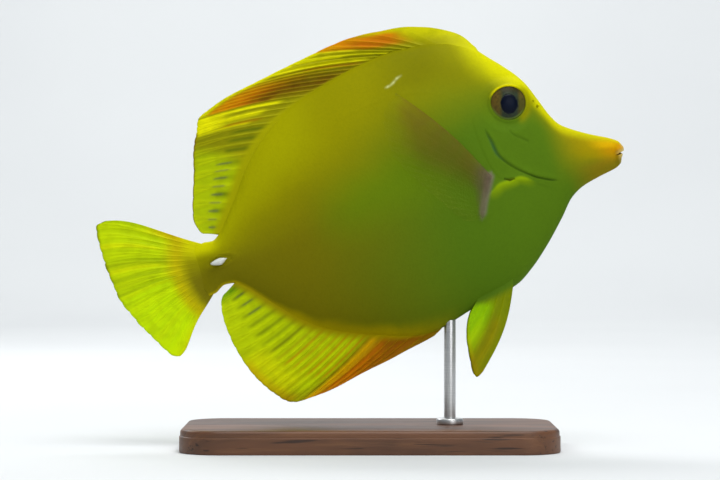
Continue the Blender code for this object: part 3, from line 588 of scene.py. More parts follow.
def body_relief(s, h, side, marks):
    """Forms of the trunk and the tail stalk."""
    beside, share = Curve(PECTORAL_BASE).beside(s, h)
    strip = between(share, 0.08, 0.9, 0.2) * bell(beside, 1.7)
    height = STRIP_RISE * strip
    marks["strip"] += between(share, 0, 0.85, 0.3) * bell(beside - 0.4, 1.5)

    beside, share = Curve(SENSE_LINE).beside(s, h)
    pores = 0.5 + 0.5 * np.cos(share * 2 * math.pi * SENSE_PORES)
    line = between(share, 0.04, 0.96, 0.04) * bell(beside, 0.5)
    height += SENSE_RISE * line * (0.6 + 0.4 * pores)

    ahead, above = scalpel_place(s, h)
    rim = np.hypot(ahead / (SCALPEL_LENGTH / 2 + 0.5), above / (SCALPEL_HEIGHT / 2 + 0.4))
    height += BLADE_RIM_RISE * bell(rim - 1.35, 0.2) - BLADE_GROOVE_DEPTH * eased(rim, 1.08, 0.86)

    beside, share = Curve(SCRATCH).beside(s, h)
    broken = 0.7 + 0.3 * np.sin(share * 17 + 0.6)
    scratch = (side == RIGHT) * bell(beside, 0.36) * broken
    height -= SCRATCH_DEPTH * scratch
    marks["scratch"] += scratch
    return height


def ring_levels():
    """Levels round a ring, from 1 at the back to -1 at the belly, and the side of each point."""
    t = np.linspace(0, 1, SIDE_POINTS + 1)
    down = (1 - EVEN_SHARE) * np.cos(math.pi * t) + EVEN_SHARE * (1 - 2 * t)
    levels = np.concatenate([down, down[-2:0:-1]])
    right, left = (np.full(SIDE_POINTS - 1, side) for side in (RIGHT, LEFT))
    side = np.concatenate([[0], right, [0], left])
    return levels, side


def skin_places():
    """The places of the whole skin, ring by ring, with the marks that its colours need."""
    turn = np.linspace(0.02, math.pi / 2, SNOUT_RINGS, endpoint=False)
    cap = SNOUT_ROUNDING * (1 - np.cos(turn))
    runs = [np.linspace(start, end, round((end - start) / step), endpoint=False)
            for start, end, step in RING_RUNS]
    s = np.concatenate([cap, *runs])[:, None]
    level, side = ring_levels()
    ring_s = s = s * np.ones_like(level)
    end = eased(ring_s, STALK_FROM, SKIN_TO)
    drawn_in = 1 - 0.12 * eased(ring_s, 148.5, SKIN_TO)
    for _ in range(4):
        bottom, middle, top = section_limits(s)
        h = middle + level * drawn_in * np.where(level > 0, top - middle, middle - bottom)
        s = ring_s - end * (TAIL_ROOT_S - tail_root_s(h))
    y, eye_radius = eye_setting(s, half_width(s, h), h)
    y[:, side == 0] = 0

    chin = CHIN_SETBACK * np.exp(-s / 2) * np.clip((middle - h) / 2, 0, 1)
    places = np.stack([s + chin, side * y, h], axis=-1)
    down = np.gradient(places, axis=1)
    back = np.gradient(places, axis=0)
    normal = np.cross(down, back)
    normal /= np.maximum(np.linalg.norm(normal, axis=-1, keepdims=True), 1e-9)
    normal *= np.sign(np.sum(normal * np.stack([0 * s, side * np.ones_like(s), 0 * s], -1), -1,
                             keepdims=True) + 1e-9)

    names = ("crease", "groove", "spot", "ridge", "strip", "scratch", "mouth", "lip")
    marks = {name: np.zeros_like(s) for name in names}
    height = np.zeros_like(s)
    head = s[:, 0] < 62
    snout = s[:, 0] < 6
    for rows, relief in ((head, head_relief), (snout, mouth_relief)):
        part = {name: values[rows] for name, values in marks.items()}
        height[rows] += relief(s[rows], h[rows], part)
        for name in names:
            marks[name][rows] = part[name]
    height += body_relief(s, h, side * np.ones_like(s), marks)
    height *= eased(ring_s, SKIN_TO, SKIN_TO - 2) * eased(eye_radius, 6.4, 7.4)
    # Painted shade on the socket's wall round the eye.
    marks["socket"] = eased(eye_radius, 6.35, 5.9)
    raised = (h - EYE_H) / EYE_RADIUS
    # A painted highlight: a bright line along the top of the eye's rim, as lit from above.
    marks["lid"] = bell(eye_radius - 6.5, 0.5) * eased(raised, 0.4, 0.9)
    ahead = eased(s, EYE_S - 1, EYE_S - 4)
    marks["shade"] = bell(eye_radius - 7.2, 1.3) * eased(raised, 0.95, 0.4) * ahead
    marks["along"] = s
    marks["level"] = level * np.ones_like(s)
    return places + normal * height[..., None], marks


def build_skin(finish):
    """One skin over the head, the gill covers, the trunk and the tail stalk."""
    places, marks = skin_places()
    rings, points = places.shape[:2]
    faces = loft_faces(rings, points)
    tip = rings * points
    faces += [(tip, (j + 1) % points, j) for j in range(points)]
    last = (rings - 1) * points
    for j in range(SIDE_POINTS):
        near, far = (last + (points - j) % points), (last + points - j - 1)
        loop = dict.fromkeys((last + j, last + j + 1, far, near))
        faces.append(tuple(loop))
    snout = places[0].mean(axis=0) - np.array([0.01, 0, 0])
    places = np.vstack([places.reshape(-1, 3), snout])
    marks = {name: np.append(values.ravel(), values[0, 0]) for name, values in marks.items()}
    return new_piece(
        "skin", in_world(places), faces, finish, "skin",
        ("head", "gill_cover_left", "gill_cover_right", "trunk", "tail_stalk"), marks,
    )


# The fins


class Fin:
    """Sample places over one fin: u across its rays, v from root to edge."""

    def __init__(self, count, spines, rows, seed):
        self.count, self.spines, self.rows = count, spines, rows
        self.columns = (count - 1) * RAY_SAMPLES + 1
        self.u = np.linspace(0, 1, self.columns)[:, None] * np.ones((1, rows))
        self.v = (np.linspace(0, 1, rows) ** 0.94)[None, :] * np.ones((self.columns, 1))
        self.ray = self.u * (count - 1)
        self.nearest = np.rint(self.ray).astype(int)
        self.offset = self.ray - self.nearest
        chance = np.random.default_rng(seed)
        self.odd = chance.uniform(-1, 1, count)[self.nearest]
        between_rays = np.floor(self.ray).astype(int)
        self.web_odd = chance.uniform(0, 1, count)[between_rays]
        self.web = 1 - np.abs(2 * (self.ray - between_rays) - 1)
        self.relief = 1
        self.fade = 2.2
        self.bare = None

    def ridges(self):
        """How much of a ray lies at each place: soft rays fork twice on their way out."""
        soft = self.nearest >= self.spines
        first = np.where(soft, 0.17 * eased(self.v, 0.34, 0.95), 0)
        second = np.where(soft, 0.075 * eased(self.v, 0.62, 1), 0)
        nearest_fork = np.abs(np.abs(np.abs(self.offset) - first) - second)
        return bell(nearest_fork, 0.135 - 0.075 * self.v)

    def edge(self, notch):
        """Share of the full reach at each place: webs are cut in a little between the tips."""
        cut = notch * (2 * np.abs(self.offset)) ** 2 - 0.5 * notch * self.odd * (self.v > 0)
        return self.v * (1 - cut * self.v ** 6)

    def spread(self, root, tips, notch, bow=0):
        """Places (s, h) between root and tips, and the rays' length, with the rays bowed by mm."""
        (root_s, root_h), (tip_s, tip_h) = root, tips
        reach = np.hypot(tip_s - root_s, tip_h - root_h)
        share = self.edge(notch)
        aside = bow * np.sin(math.pi * self.v) / reach
        s = root_s + (tip_s - root_s) * share - (tip_h - root_h) * aside
        h = root_h + (tip_h - root_h) * share + (tip_s - root_s) * aside
        return s, h, reach

    def build(self, name, middle, across, root_half, finish, marks, replaced, reach, sunk, sheath):
        """Closes the fin between two faces on both sides of its middle surface.

        reach is its length in mm, the first sunk mm of it lie in the flesh, and a fleshy sheath
        fades out over the next ones.
        """
        clear = self.v * reach - sunk
        ridge = self.ridges() * self.relief * eased(clear, -0.5 * sheath, 0.9 * sheath)
        spine = self.nearest < self.spines
        rise = np.where(spine, SPINE_RISE, RAY_RISE) * (1 - 0.7 * self.v)
        half = MEMBRANE * (1 - 0.35 * self.v) + rise * ridge
        fleshy = np.clip((sheath - clear) / (sheath + sunk), 0, 1) ** self.fade
        half += (root_half - half) * fleshy
        tip = np.clip((self.v - 0.965) / 0.035, 0, 1)
        front = np.clip(1 - np.minimum(self.ray, self.count - 1 - self.ray) / 0.16, 0, 1)
        half = half * np.sqrt(1 - 0.97 * tip ** 2) * np.sqrt(1 - 0.9 * front ** 2)
        near = middle - across * half[..., None]
        far = middle + across * half[..., None]
        columns, rows = self.columns, self.rows
        total = columns * rows
        sheet = np.array(loft_faces(columns, rows, closed=False))
        index = np.arange(total).reshape(columns, rows)
        border = np.concatenate([index[:, 0], index[-1, 1:], index[-2::-1, -1], index[0, -2:0:-1]])
        after = np.roll(border, -1)
        strip = np.stack([border, border + total, after + total, after], axis=-1)
        faces = np.vstack([sheet, sheet[:, ::-1] + total, strip[:, ::-1]]).tolist()
        bare = eased(clear, *(self.bare or (0, 0.8 * sheath)))
        marks = {"bare": bare, "ridge": ridge, "level": np.ones_like(bare), **marks}
        both = {key: np.concatenate([values.ravel()] * 2) for key, values in marks.items()}
        places = in_world(np.concatenate([near.reshape(-1, 3), far.reshape(-1, 3)]))
        return new_piece(name, places, faces, finish, "fin", (replaced,), both)


def streaks(fin, table):
    """Bright or dark lines along the rays, from a table of (ray, half width, from v, strength)."""
    lines = (strength * bell(fin.ray - ray, wide) * between(fin.v, low, 1, 0.12)
             for ray, wide, low, strength in table)
    return np.clip(sum(lines), 0, 1)


def in_plane(s, h, y):
    """A middle surface that stands upright on the fish, with its thickness along y."""
    across = np.zeros((*s.shape, 3))
    across[..., 1] = 1
    return np.stack([s, y, h], axis=-1), across


def waves(fin, *rolls):
    """Gentle sideways rolls of a fin, as (height, turns across, turns out, start)."""
    y = np.zeros_like(fin.u)
    for height, turns, out, start in rolls:
        y += height * fin.v ** 1.3 * np.sin(2 * math.pi * (turns * fin.u + out * fin.v) + start)
    return y


def middle_fin(fin, root_s, root_h, margin, tips, lean):
    """Places of a fin on the middle line, its rays a little bowed, and the length of its rays."""
    tip_s, tip_h = Curve(margin).at(smooth_between(tips, fin.u))
    reach = np.hypot(tip_s - root_s, tip_h - root_h)
    share = fin.edge(np.minimum(0.16 / reach, 0.016))
    s = root_s + (tip_s - root_s) * share
    h = root_h + (tip_h - root_h) * share + lean * reach * np.sin(math.pi * fin.v)
    return s, h, reach


# Painted highlights along the dorsal's folds, as (ray, half width, from v, strength).
DORSAL_HIGHLIGHTS = [
    (5.6, 0.3, 0.62, 0.8), (6.7, 0.4, 0.16, 0.5), (7.25, 0.3, 0.55, 0.8), (8.6, 0.45, 0.2, 0.9),
    (10.1, 0.25, 0.3, 0.4), (16.7, 0.28, 0.3, 1), (18.1, 0.45, 0.38, 1),
    (19.5, 0.22, 0.42, 0.7),
]


def build_dorsal(finish):
    """Spines run smoothly into soft rays. A dark wedge and an orange patch lie in its folds, and
    painted highlights and shade run along them.
    """
    fin = Fin(DORSAL_SPINES + DORSAL_RAYS, DORSAL_SPINES, 64, 11)
    root_s = DORSAL_FROM + (DORSAL_TO - DORSAL_FROM) * fin.u
    root_s = root_s - DORSAL_LEAD * np.clip(1 - fin.u / 0.12, 0, 1) ** 2
    nape = eased(fin.ray, 7, 1)
    sunk = ROOT_SINK + 3 * nape
    root_h = smooth_between(BACK, root_s) - sunk
    s, h, reach = middle_fin(fin, root_s, root_h, DORSAL_MARGIN, DORSAL_TIPS, 0.03)
    fin.relief = 0.12 + 0.88 * eased(fin.ray, 1.5, 6)
    k, v = fin.ray, fin.v
    pleat = 0.42 * eased(k, 24, 6) * eased(k, 1, 5) * fin.web * np.sin(math.pi * v)
    y = waves(fin, (0.8, 1.2, 0.2, 0.4), (0.3, 3.4, 0, 2)) + pleat

    front = between(k, 2.7, 5.1, 0.8) * between(v, 0.55, 1, 0.25)
    front = front * (1 - 0.8 * eased(k, 4.2, 3.2) * eased(v, 0.8, 0.95)) * eased(s, 57.5, 68.5)
    wedge = bell(k - 13.5 - 1.2 * (v - 0.5), 2.6) * between(v, 0.12, 0.84, 0.13)
    wedge = np.maximum(wedge, between(k, 14.2, 15.9, 0.4) * between(v, 0.42, 0.86, 0.1))
    wedge = wedge * eased(k, 16.45, 15.95)
    orange = most(front, wedge * eased(v, 0.2, 0.6),
                  0.5 * bell(k - 9.6, 0.4) * between(v, 0.2, 0.5, 0.15),
                  0.45 * bell(k - 19.25, 0.25) * between(v, 0.35, 0.6, 0.15))
    # Painted highlights on the folds and along the top edge.
    bright = most(streaks(fin, DORSAL_HIGHLIGHTS),
                  0.9 * between(k, 5.5, 15.5, 1) * eased(v, 0.84, 0.97),
                  0.55 * between(k, 0, 3, 0.8) * eased(v, 0.3, 0.9),
                  between(k, 16.5, 19.2, 0.3) * eased(v, 0.55, 0.9))
    # Painted shade along the folds midway between the rays.
    thin = bell(fin.web - 1, 0.38)
    dark = eased(k, 19.5, 21) * thin * between(v, 0.1, 0.42, 0.14) * (0.4 + 0.6 * fin.web_odd)
    dark += 0.35 * between(k, 5.5, 12.5, 0.6) * thin * between(v, 0.1, 0.6, 0.15)
    dark += 0.28 * between(k, 19.9, 22.3, 0.4) * between(v, 0.2, 0.9, 0.2)
    slit = np.maximum(bell(fin.web - 1, 0.15), bell(fin.web, 0.13))
    slit = slit * between(k, 23.2, 27.7, 0.2) * between(v, 0.38, 0.52, 0.12)
    marks = {
        "orange": orange, "brown": wedge * eased(v, 0.72, 0.4), "bright": bright,
        "lime": eased(k + 2.6 * (v - 0.5), 21.9, 23.6), "dark": np.clip(dark, 0, 1),
        "amber": front * eased(v, 0.7, 0.98) + wedge * eased(v, 0.55, 0.85),
        "slit": slit, "rim": eased(v, 0.965, 0.985) * eased(k, 18, 20), "along": root_s,
    }
    crest = 1.9 * smooth_between(CREST, root_s)
    crest = crest + nape * (half_width(root_s, root_h) - 0.15 - crest)
    fin.fade = 2.2 - 0.7 * nape
    return fin.build("dorsal", *in_plane(s, h, y), crest, finish, marks, "dorsal_fin",
                     reach, sunk, FIN_SHEATH + 5 * nape)


def build_anal(finish):
    """The fin below: orange brown in front of a gold line, then striped lime."""
    fin = Fin(ANAL_SPINES + ANAL_RAYS, ANAL_SPINES, 60, 12)
    k, v = fin.ray, fin.v
    root_s = ANAL_FROM + (ANAL_TO - ANAL_FROM) * fin.u
    root_s = root_s - ANAL_LEAD * np.clip(1 - fin.u / 0.14, 0, 1) ** 2
    root_h = smooth_between(BELLY, root_s) + ROOT_SINK
    s, h, reach = middle_fin(fin, root_s, root_h, ANAL_MARGIN, ANAL_TIPS, -0.03)
    pleat = 0.4 * eased(k, 20, 6) * eased(k, 0.5, 4) * fin.web * np.sin(math.pi * v)
    y = waves(fin, (0.7, 1.1, 0.15, 2.6), (0.25, 3.1, 0, 0.4)) + pleat

    thin = bell(fin.web - 1, 0.36)
    stripe = thin * between(v, 0.06, 0.55, 0.16) * (0.55 + 0.45 * fin.web_odd)
    slit = between(k, 17.8, 20.6, 0.3) * bell(fin.web - 1, 0.2)
    front = eased(k, 6.2, 4.4)
    orange = most(front, 0.7 * stripe * eased(k, 15.5, 12) * eased(k, 6, 7),
                  0.4 * between(k, 8.5, 14, 1.5) * eased(v, 0.84, 0.98))
    marks = {
        "orange": np.clip(orange, 0, 1) * (1 - 0.6 * eased(k, 2, 0)),
        "brown": 0.6 * front * eased(k + 3 * (v - 0.4), 5.2, 2.2),
        "gold": bell(k - 6.1 + 0.4 * v, 0.5) * between(v, 0.06, 0.96, 0.1),
        "bright": 0.5 * between(k, 10, 14.5, 1.5) * eased(v, 0.5, 0.8),
        "lime": 0.9 * eased(k, 6.6, 8) * (1 - 0.75 * bell(k - 8.2, 1.6) * eased(v, 0.72, 0.95)),
        "dark": 0.85 * stripe * eased(k, 12, 15),
        "slit": 0.8 * slit * between(v, 0.28, 0.44, 0.12),
        "green": eased(k, 20.2, 21.6), "along": root_s, "level": -np.ones_like(k),
    }
    crest = 1.9 * smooth_between(CREST, root_s)
    fin.bare = (-0.8, 3.2)
    return fin.build("anal", *in_plane(s, h, y), crest, finish, marks, "anal_fin",
                     reach, ROOT_SINK, FIN_SHEATH + 1.5 * eased(k, 4, 0.5))


# Painted shade in the tail's pleats, as (ray, half width, from v, strength).
TAIL_PLEAT_SHADE = [
    (4.95, 0.26, 0.45, 0.45), (6.5, 0.3, 0.4, 0.3), (7.1, 0.12, 0.6, 0.3), (7.85, 0.16, 0.4, 0.75),
    (8.85, 0.14, 0.35, 0.55), (9.25, 0.12, 0.25, 0.3), (10.9, 0.2, 0.5, 0.15),
    (12, 0.2, 0.3, 0.15),
]
TAIL_BRIGHT = [
    (3, 0.26, 0.5, 0.4), (5.55, 0.26, 0.5, 0.4), (8.25, 0.24, 0.4, 0.5), (9.5, 0.3, 0.45, 0.45),
    (13.2, 0.4, 0.5, 0.3),
]


def build_tail(finish):
    """The tail fin spreads from inside the stalk, its two edges a little bowed."""
    fin = Fin(TAIL_RAYS, 1, 92, 13)
    k, v = fin.ray, fin.v
    root_h = TAIL_ROOT_TOP + (TAIL_ROOT_LOW - TAIL_ROOT_TOP) * fin.u
    root_s = tail_root_s(root_h) - TAIL_SUNK
    s, h, reach = fin.spread((root_s, root_h), Curve(TAIL_MARGIN).at(fin.u), 0.008)
    hump = TAIL_TOP_BOW * (1 - fin.u) ** 1.5 * np.sin(math.pi * v ** 2)
    hollow = TAIL_LOW_BOW * fin.u ** 2 * np.sin(2 * math.pi * v ** 2)
    h = h + hump + hollow
    y = waves(fin, (0.9, 1.3, 0.1, 0.9), (0.35, 3.6, 0, 0.3))
    y += 0.2 * fin.web * np.sin(math.pi * v) * fin.odd * eased(v, 0.2, 0.5)

    clear = v * reach - TAIL_SUNK
    # Painted shade along the pleats between the rays.
    dark = streaks(fin, TAIL_PLEAT_SHADE)
    dark += 0.15 * bell(fin.web - 1, 0.4) * between(v, 0.35, 0.9, 0.2) * fin.web_odd
    bright = most(streaks(fin, TAIL_BRIGHT), 0.9 * eased(k, 1.6, 0.2) * eased(v, 0.7, 0.3),
                  0.5 * eased(k, 14.6, 15.8), 0.45 * eased(clear, 12, 6))
    marks = {
        "orange": 0.3 * bell(v - 0.4, 0.12) * eased(k, 1.6, 0.4) + 0.2 * bell(clear - 5.5, 3),
        # Painted light: the lower half of the tail is painted a brighter lime, as if lit through.
        "glow": between(k, 8.6, 15, 1.4) * eased(clear, 6, 10),
        "bright": bright, "lime": eased(clear, 3, 11), "dark": np.clip(dark, 0, 1),
        "rim": eased(v, 0.972, 0.99) * (0.6 + 0.4 * fin.odd),
        "along": root_s + TAIL_SUNK, "level": 1 - 1.9 * fin.u,
    }
    fin.fade = 1.35
    fin.bare = (0.6, 5.4)
    y = y * eased(clear, 0, 12)
    return fin.build("tail", *in_plane(s, h, y), TAIL_ROOT_HALF, finish, marks, "tail_fin",
                     reach, TAIL_SUNK, TAIL_SHEATH)


def build_pectoral(side, word, finish):
    """A nearly clear fin that leans away from the flank behind the gill cover."""
    fin = Fin(PECTORAL_RAYS, 1, 64, 14)
    k, v = fin.ray, fin.v
    root_s, root_h = Curve(PECTORAL_BASE).at(fin.u)
    tips = Curve(PECTORAL_MARGIN).at(fin.u)
    bow = PECTORAL_BOW * (1 - 1.4 * fin.u)
    s, h, reach = fin.spread((root_s, root_h), tips, 0.01, bow)
    y = half_width(root_s, root_h) + PECTORAL_ROOT_OUT + PECTORAL_SPREAD * reach * v
    y = y + waves(fin, (0.5, 1.1, 0.3, 0.2)) + 0.12 * fin.web * np.sin(math.pi * v)
    marks = {
        "pink": eased(v, 0.24, 0),
        # Painted shade: the leading half of the fin, short of its edge, is tinted brown.
        "lead": eased(k, 8.5, 0.5) * eased(v, 1, 0.6 + 0.2 * eased(k, 3, 0.5)),
        "edge": bell(k, 0.25) * eased(v, 0.2, 0.6),
    }
    return fin.build("pectoral_" + word, *in_plane(s, h, side * y), 0.8, finish, marks,
                     "pectoral_fin_" + word, reach, 0, 3)


def belly_level(s, y):
    """Level of the underside at a distance y from the middle plane."""
    low, high, _ = section_limits(s)
    for _ in range(30):
        level = (low + high) / 2
        inside = half_width(s, level) > y
        low, high = np.where(inside, low, level), np.where(inside, level, high)
    return high


def build_pelvic(side, word, finish):
    """One of the two pointed fins under the breast."""
    fin = Fin(PELVIC_RAYS, 1, 56, 15)
    k, v = fin.ray, fin.v
    root_s = PELVIC_FROM + (PELVIC_TO - PELVIC_FROM) * fin.u
    root_h = belly_level(root_s, PELVIC_ROOT_Y) + ROOT_SINK
    tips = Curve(PELVIC_MARGIN).at(fin.u)
    s, h, reach = fin.spread((root_s, root_h), tips, 0.01, PELVIC_BOW * (fin.u - 1))
    y = PELVIC_ROOT_Y + PELVIC_SPREAD * reach * v + waves(fin, (0.35, 0.8, 0.2, 0.5))
    marks = {
        "orange": (0.16 * bell(k - 1.2, 0.7) * between(v, 0.5, 0.85, 0.2)
                   + 0.2 * eased(v, 0.88, 0.98)),
        "bright": 0.15 * bell(k - 2.8, 0.6) * eased(v, 0.4, 0.8),
        "lime": eased(k, 1.6, 3) * eased(v, 0.1, 0.35),
        "dark": 0.14 * bell(fin.web - 1, 0.4) * between(v, 0.25, 0.85, 0.2),
        "along": root_s, "level": -0.8 * np.ones_like(k),
    }
    return fin.build("pelvic_" + word, *in_plane(s, h, side * y), 0.9, finish, marks,
                     "pelvic_fin_" + word, reach, ROOT_SINK, 5)


# Eyes, blades and stand


def build_eye(side, word, finish):
    """A shallow dome with a raised iris round a bulging pupil, on a short drum."""
    rings, points = 54, 120
    curvature = (EYE_RADIUS ** 2 + EYE_DOME ** 2) / (2 * EYE_DOME)
    radius = np.concatenate([np.linspace(0.02, 1.03, rings - 4) * EYE_RADIUS,
                             np.array([1.035, 1.03, 1, 0.5]) * EYE_RADIUS])
    dome = np.sqrt(curvature ** 2 - radius[:-4] ** 2) - curvature + EYE_DOME
    turn = np.arange(points) * 2 * math.pi / points
    ahead = radius[:, None] * np.cos(turn)
    above = radius[:, None] * np.sin(turn)
    depth = np.concatenate([dome, [-0.6, -1.4, -EYE_DEPTH, -EYE_DEPTH]])[:, None] * np.ones(points)
    from_pupil = np.hypot((ahead - PUPIL_AHEAD) / PUPIL_WIDE, (above + PUPIL_BELOW) / PUPIL_TALL)
    fibres = np.sin(turn * 34) * np.sin(turn * 13 + 1)
    iris = between(from_pupil, 1.12, 1.7, 0.12)
    shape = 0.07 * bell(from_pupil - 1.1, 0.07) - 0.1 * bell(from_pupil - 1, 0.06)
    shape += 0.16 * np.sqrt(np.clip(1 - from_pupil ** 2, 0, 1)) + 0.018 * iris * fibres
    shape[-4:] = 0
    centre, forward, up, outward = eye_axes(side)
    places = centre + ahead[..., None] * forward + above[..., None] * up
    places = places + (depth + shape)[..., None] * outward
    faces = loft_faces(rings, points)
    faces.append(tuple(range(points))[::-1])
    faces.append(tuple(range((rings - 1) * points, rings * points)))
    lean_c, lean_s = math.cos(PITCH), math.sin(PITCH)
    marks = {"pupil": from_pupil, "out": np.hypot(ahead, above),
             "ahead": ahead * lean_c - above * lean_s, "above": above * lean_c + ahead * lean_s}
    return new_piece(
        "eyeball_" + word, in_world(places), faces, finish, "eye", ("eye_" + word,), marks)


def build_blade(side, word, finish):
    """The white spine: a thick pointed blade, blunt at the back, with a soft ridge along it."""
    rings, points = 16, 72
    turn = np.arange(points) * 2 * math.pi / points
    x, z = np.cos(turn), np.sin(turn)
    taper = np.where(x > 0, 0.5 * np.maximum(1 - x, 0) ** 0.72, 0.5 * (1 + 0.25 * x)) * 1.1
    out = np.linspace(0, 1, rings)[:, None]
    share = np.cos(out * math.pi / 2) ** 0.55
    share[-1] = 0.03
    lift = SCALPEL_THICKNESS * (-0.5 + 0.15 * out + 0.85 * np.sin(out * math.pi / 2) ** 1.2)
    ahead = x * SCALPEL_LENGTH / 2 * share
    above = z * SCALPEL_HEIGHT * taper * share * np.where(z > 0, 0.66, 1.08) + 0.2
    lift = np.minimum(lift * np.ones(points), SCALPEL_THICKNESS / 2)
    c, n = math.cos(SCALPEL_TILT), math.sin(SCALPEL_TILT)
    s = SCALPEL_S - (ahead * c - above * n)
    h = SCALPEL_H + ahead * n + above * c
    flank = float(half_width(SCALPEL_S, SCALPEL_H)) + SCALPEL_PROUD - SCALPEL_THICKNESS / 2
    places = np.stack([s, side * (flank + lift), h], axis=-1)
    faces = loft_faces(rings, points)
    faces += [tuple(range(points))[::-1], tuple(range((rings - 1) * points, rings * points))]
    marks = {"ahead": ahead}
    return new_piece(
        "spine_" + word, in_world(places), faces, finish, "scalpel", ("scalpel_" + word,), marks)


def turned(name, profile, centre, finish, slot, replaced=(), points=96):
    """A piece turned round an upright axis, from its profile of (radius, level)."""
    profile = np.array(profile, float)
    turn = np.arange(points) * 2 * math.pi / points
    x = centre + profile[:, :1] * np.cos(turn)
    y = profile[:, :1] * np.sin(turn)
    places = np.stack([x, y, profile[:, 1:] * np.ones(points)], axis=-1) * MM
    faces = loft_faces(len(profile), points)
    faces += [tuple(range(points))[::-1]]
    faces += [tuple(range((len(profile) - 1) * points, len(profile) * points))]
    piece = new_piece(name, places, faces, finish, slot, replaced)
    piece.data.set_sharp_from_angle(angle=math.radians(35))
    return piece


def rounded(outer, low, high, edge, steps=6):
    """Profile of a round bar with soft edges, from the middle of its foot to that of its top."""
    profile = [(0.3, low)]
    for k in range(steps + 1):
        turn = math.pi / 2 * k / steps
        profile.append((outer - edge + edge * math.sin(turn), low + edge - edge * math.cos(turn)))
    for k in range(steps + 1):
        turn = math.pi / 2 * k / steps
        profile.append((outer - edge + edge * math.cos(turn), high - edge + edge * math.sin(turn)))
    return [*profile, (0.3, high)]


def build_base(finish):
    """The flat base, with eased edges and a shallow bead round its top."""
    points, steps = [], 22
    for cx, cy, start in ((1, 1, 0), (-1, 1, 90), (-1, -1, 180), (1, -1, 270)):
        for k in range(steps + 1):
            points.append((cx, cy, math.radians(start + 90 * k / steps)))
    top, foot, step = BASE_THICKNESS, BASE_FOOT_EDGE, BASE_STEP
    profile = [(-20, 0.35), (-2 * foot, 0.35), (-2 * foot, 0), (-foot, 0)]
    for a in np.radians([30, 60, 90]):
        profile.append((foot * (math.sin(a) - 1), foot * (1 - math.cos(a))))
    profile += [(0, top - 2.6), (-step, top - 2.35), (-step, top - 2)]
    for a in np.radians(np.arange(0, 91, 15)):
        inset, drop = BASE_BEVEL * (math.cos(a) - 1), BASE_BEVEL * (math.sin(a) - 1)
        profile.append((inset - step, top + drop))
    profile.append((-20, top))
    rings = []
    for inset, level in profile:
        corner = max(BASE_CORNER + inset, 0.4)
        x, y = BASE_LENGTH / 2 + inset - corner, BASE_WIDTH / 2 + inset - corner
        rings.append([(cx * x + corner * math.cos(turn), cy * y + corner * math.sin(turn), level)
                      for cx, cy, turn in points])
    places = np.array(rings) * MM
    faces = loft_faces(len(rings), len(points))
    faces += [tuple(range(len(points)))[::-1]]
    faces += [tuple(range((len(rings) - 1) * len(points), len(rings) * len(points)))]
    base = new_piece("base", places, faces, finish, "stand_wood", ("stand_base",))
    base.data.set_sharp_from_angle(angle=math.radians(35))
    return base


# Materials

# Depth of the fine relief of each finish, in metres
SCALE_DEPTH = 0.00005
SOFT_DEPTH = 0.00004
BLADE_GRAIN = 0.00003
WOOD_GRAIN = 0.00009
STEEL_GRAIN = 0.00002


class Value:
    """A number that changes over a surface. Sums and products of it add their own nodes."""

    def __init__(self, finish, socket):
        self.finish, self.socket = finish, socket

    def _math(self, operation, *numbers):
        sockets = dict(enumerate(numbers))
        made = self.finish.node("ShaderNodeMath", {"operation": operation}, sockets)
        return Value(self.finish, made.outputs[0])

    def __add__(self, other):
        return self._math("ADD", self, other)

    __radd__ = __add__

    def __sub__(self, other):
        return self._math("SUBTRACT", self, other)

    def __rsub__(self, other):
        return self._math("SUBTRACT", other, self)

    def __mul__(self, other):
        return self._math("MULTIPLY", self, other)

    __rmul__ = __mul__

    def __truediv__(self, other):
        return self._math("DIVIDE", self, other)

    def most(self, other):
        return self._math("MAXIMUM", self, other)

    def eased(self, low, high, least=0, most=1):
        """A smooth rise from least at low to most at high."""
        made = self.finish.node(
            "ShaderNodeMapRange", {"interpolation_type": "SMOOTHSTEP"},
            {0: self, 1: low, 2: high, 3: least, 4: most},
        )
        return Value(self.finish, made.outputs[0])


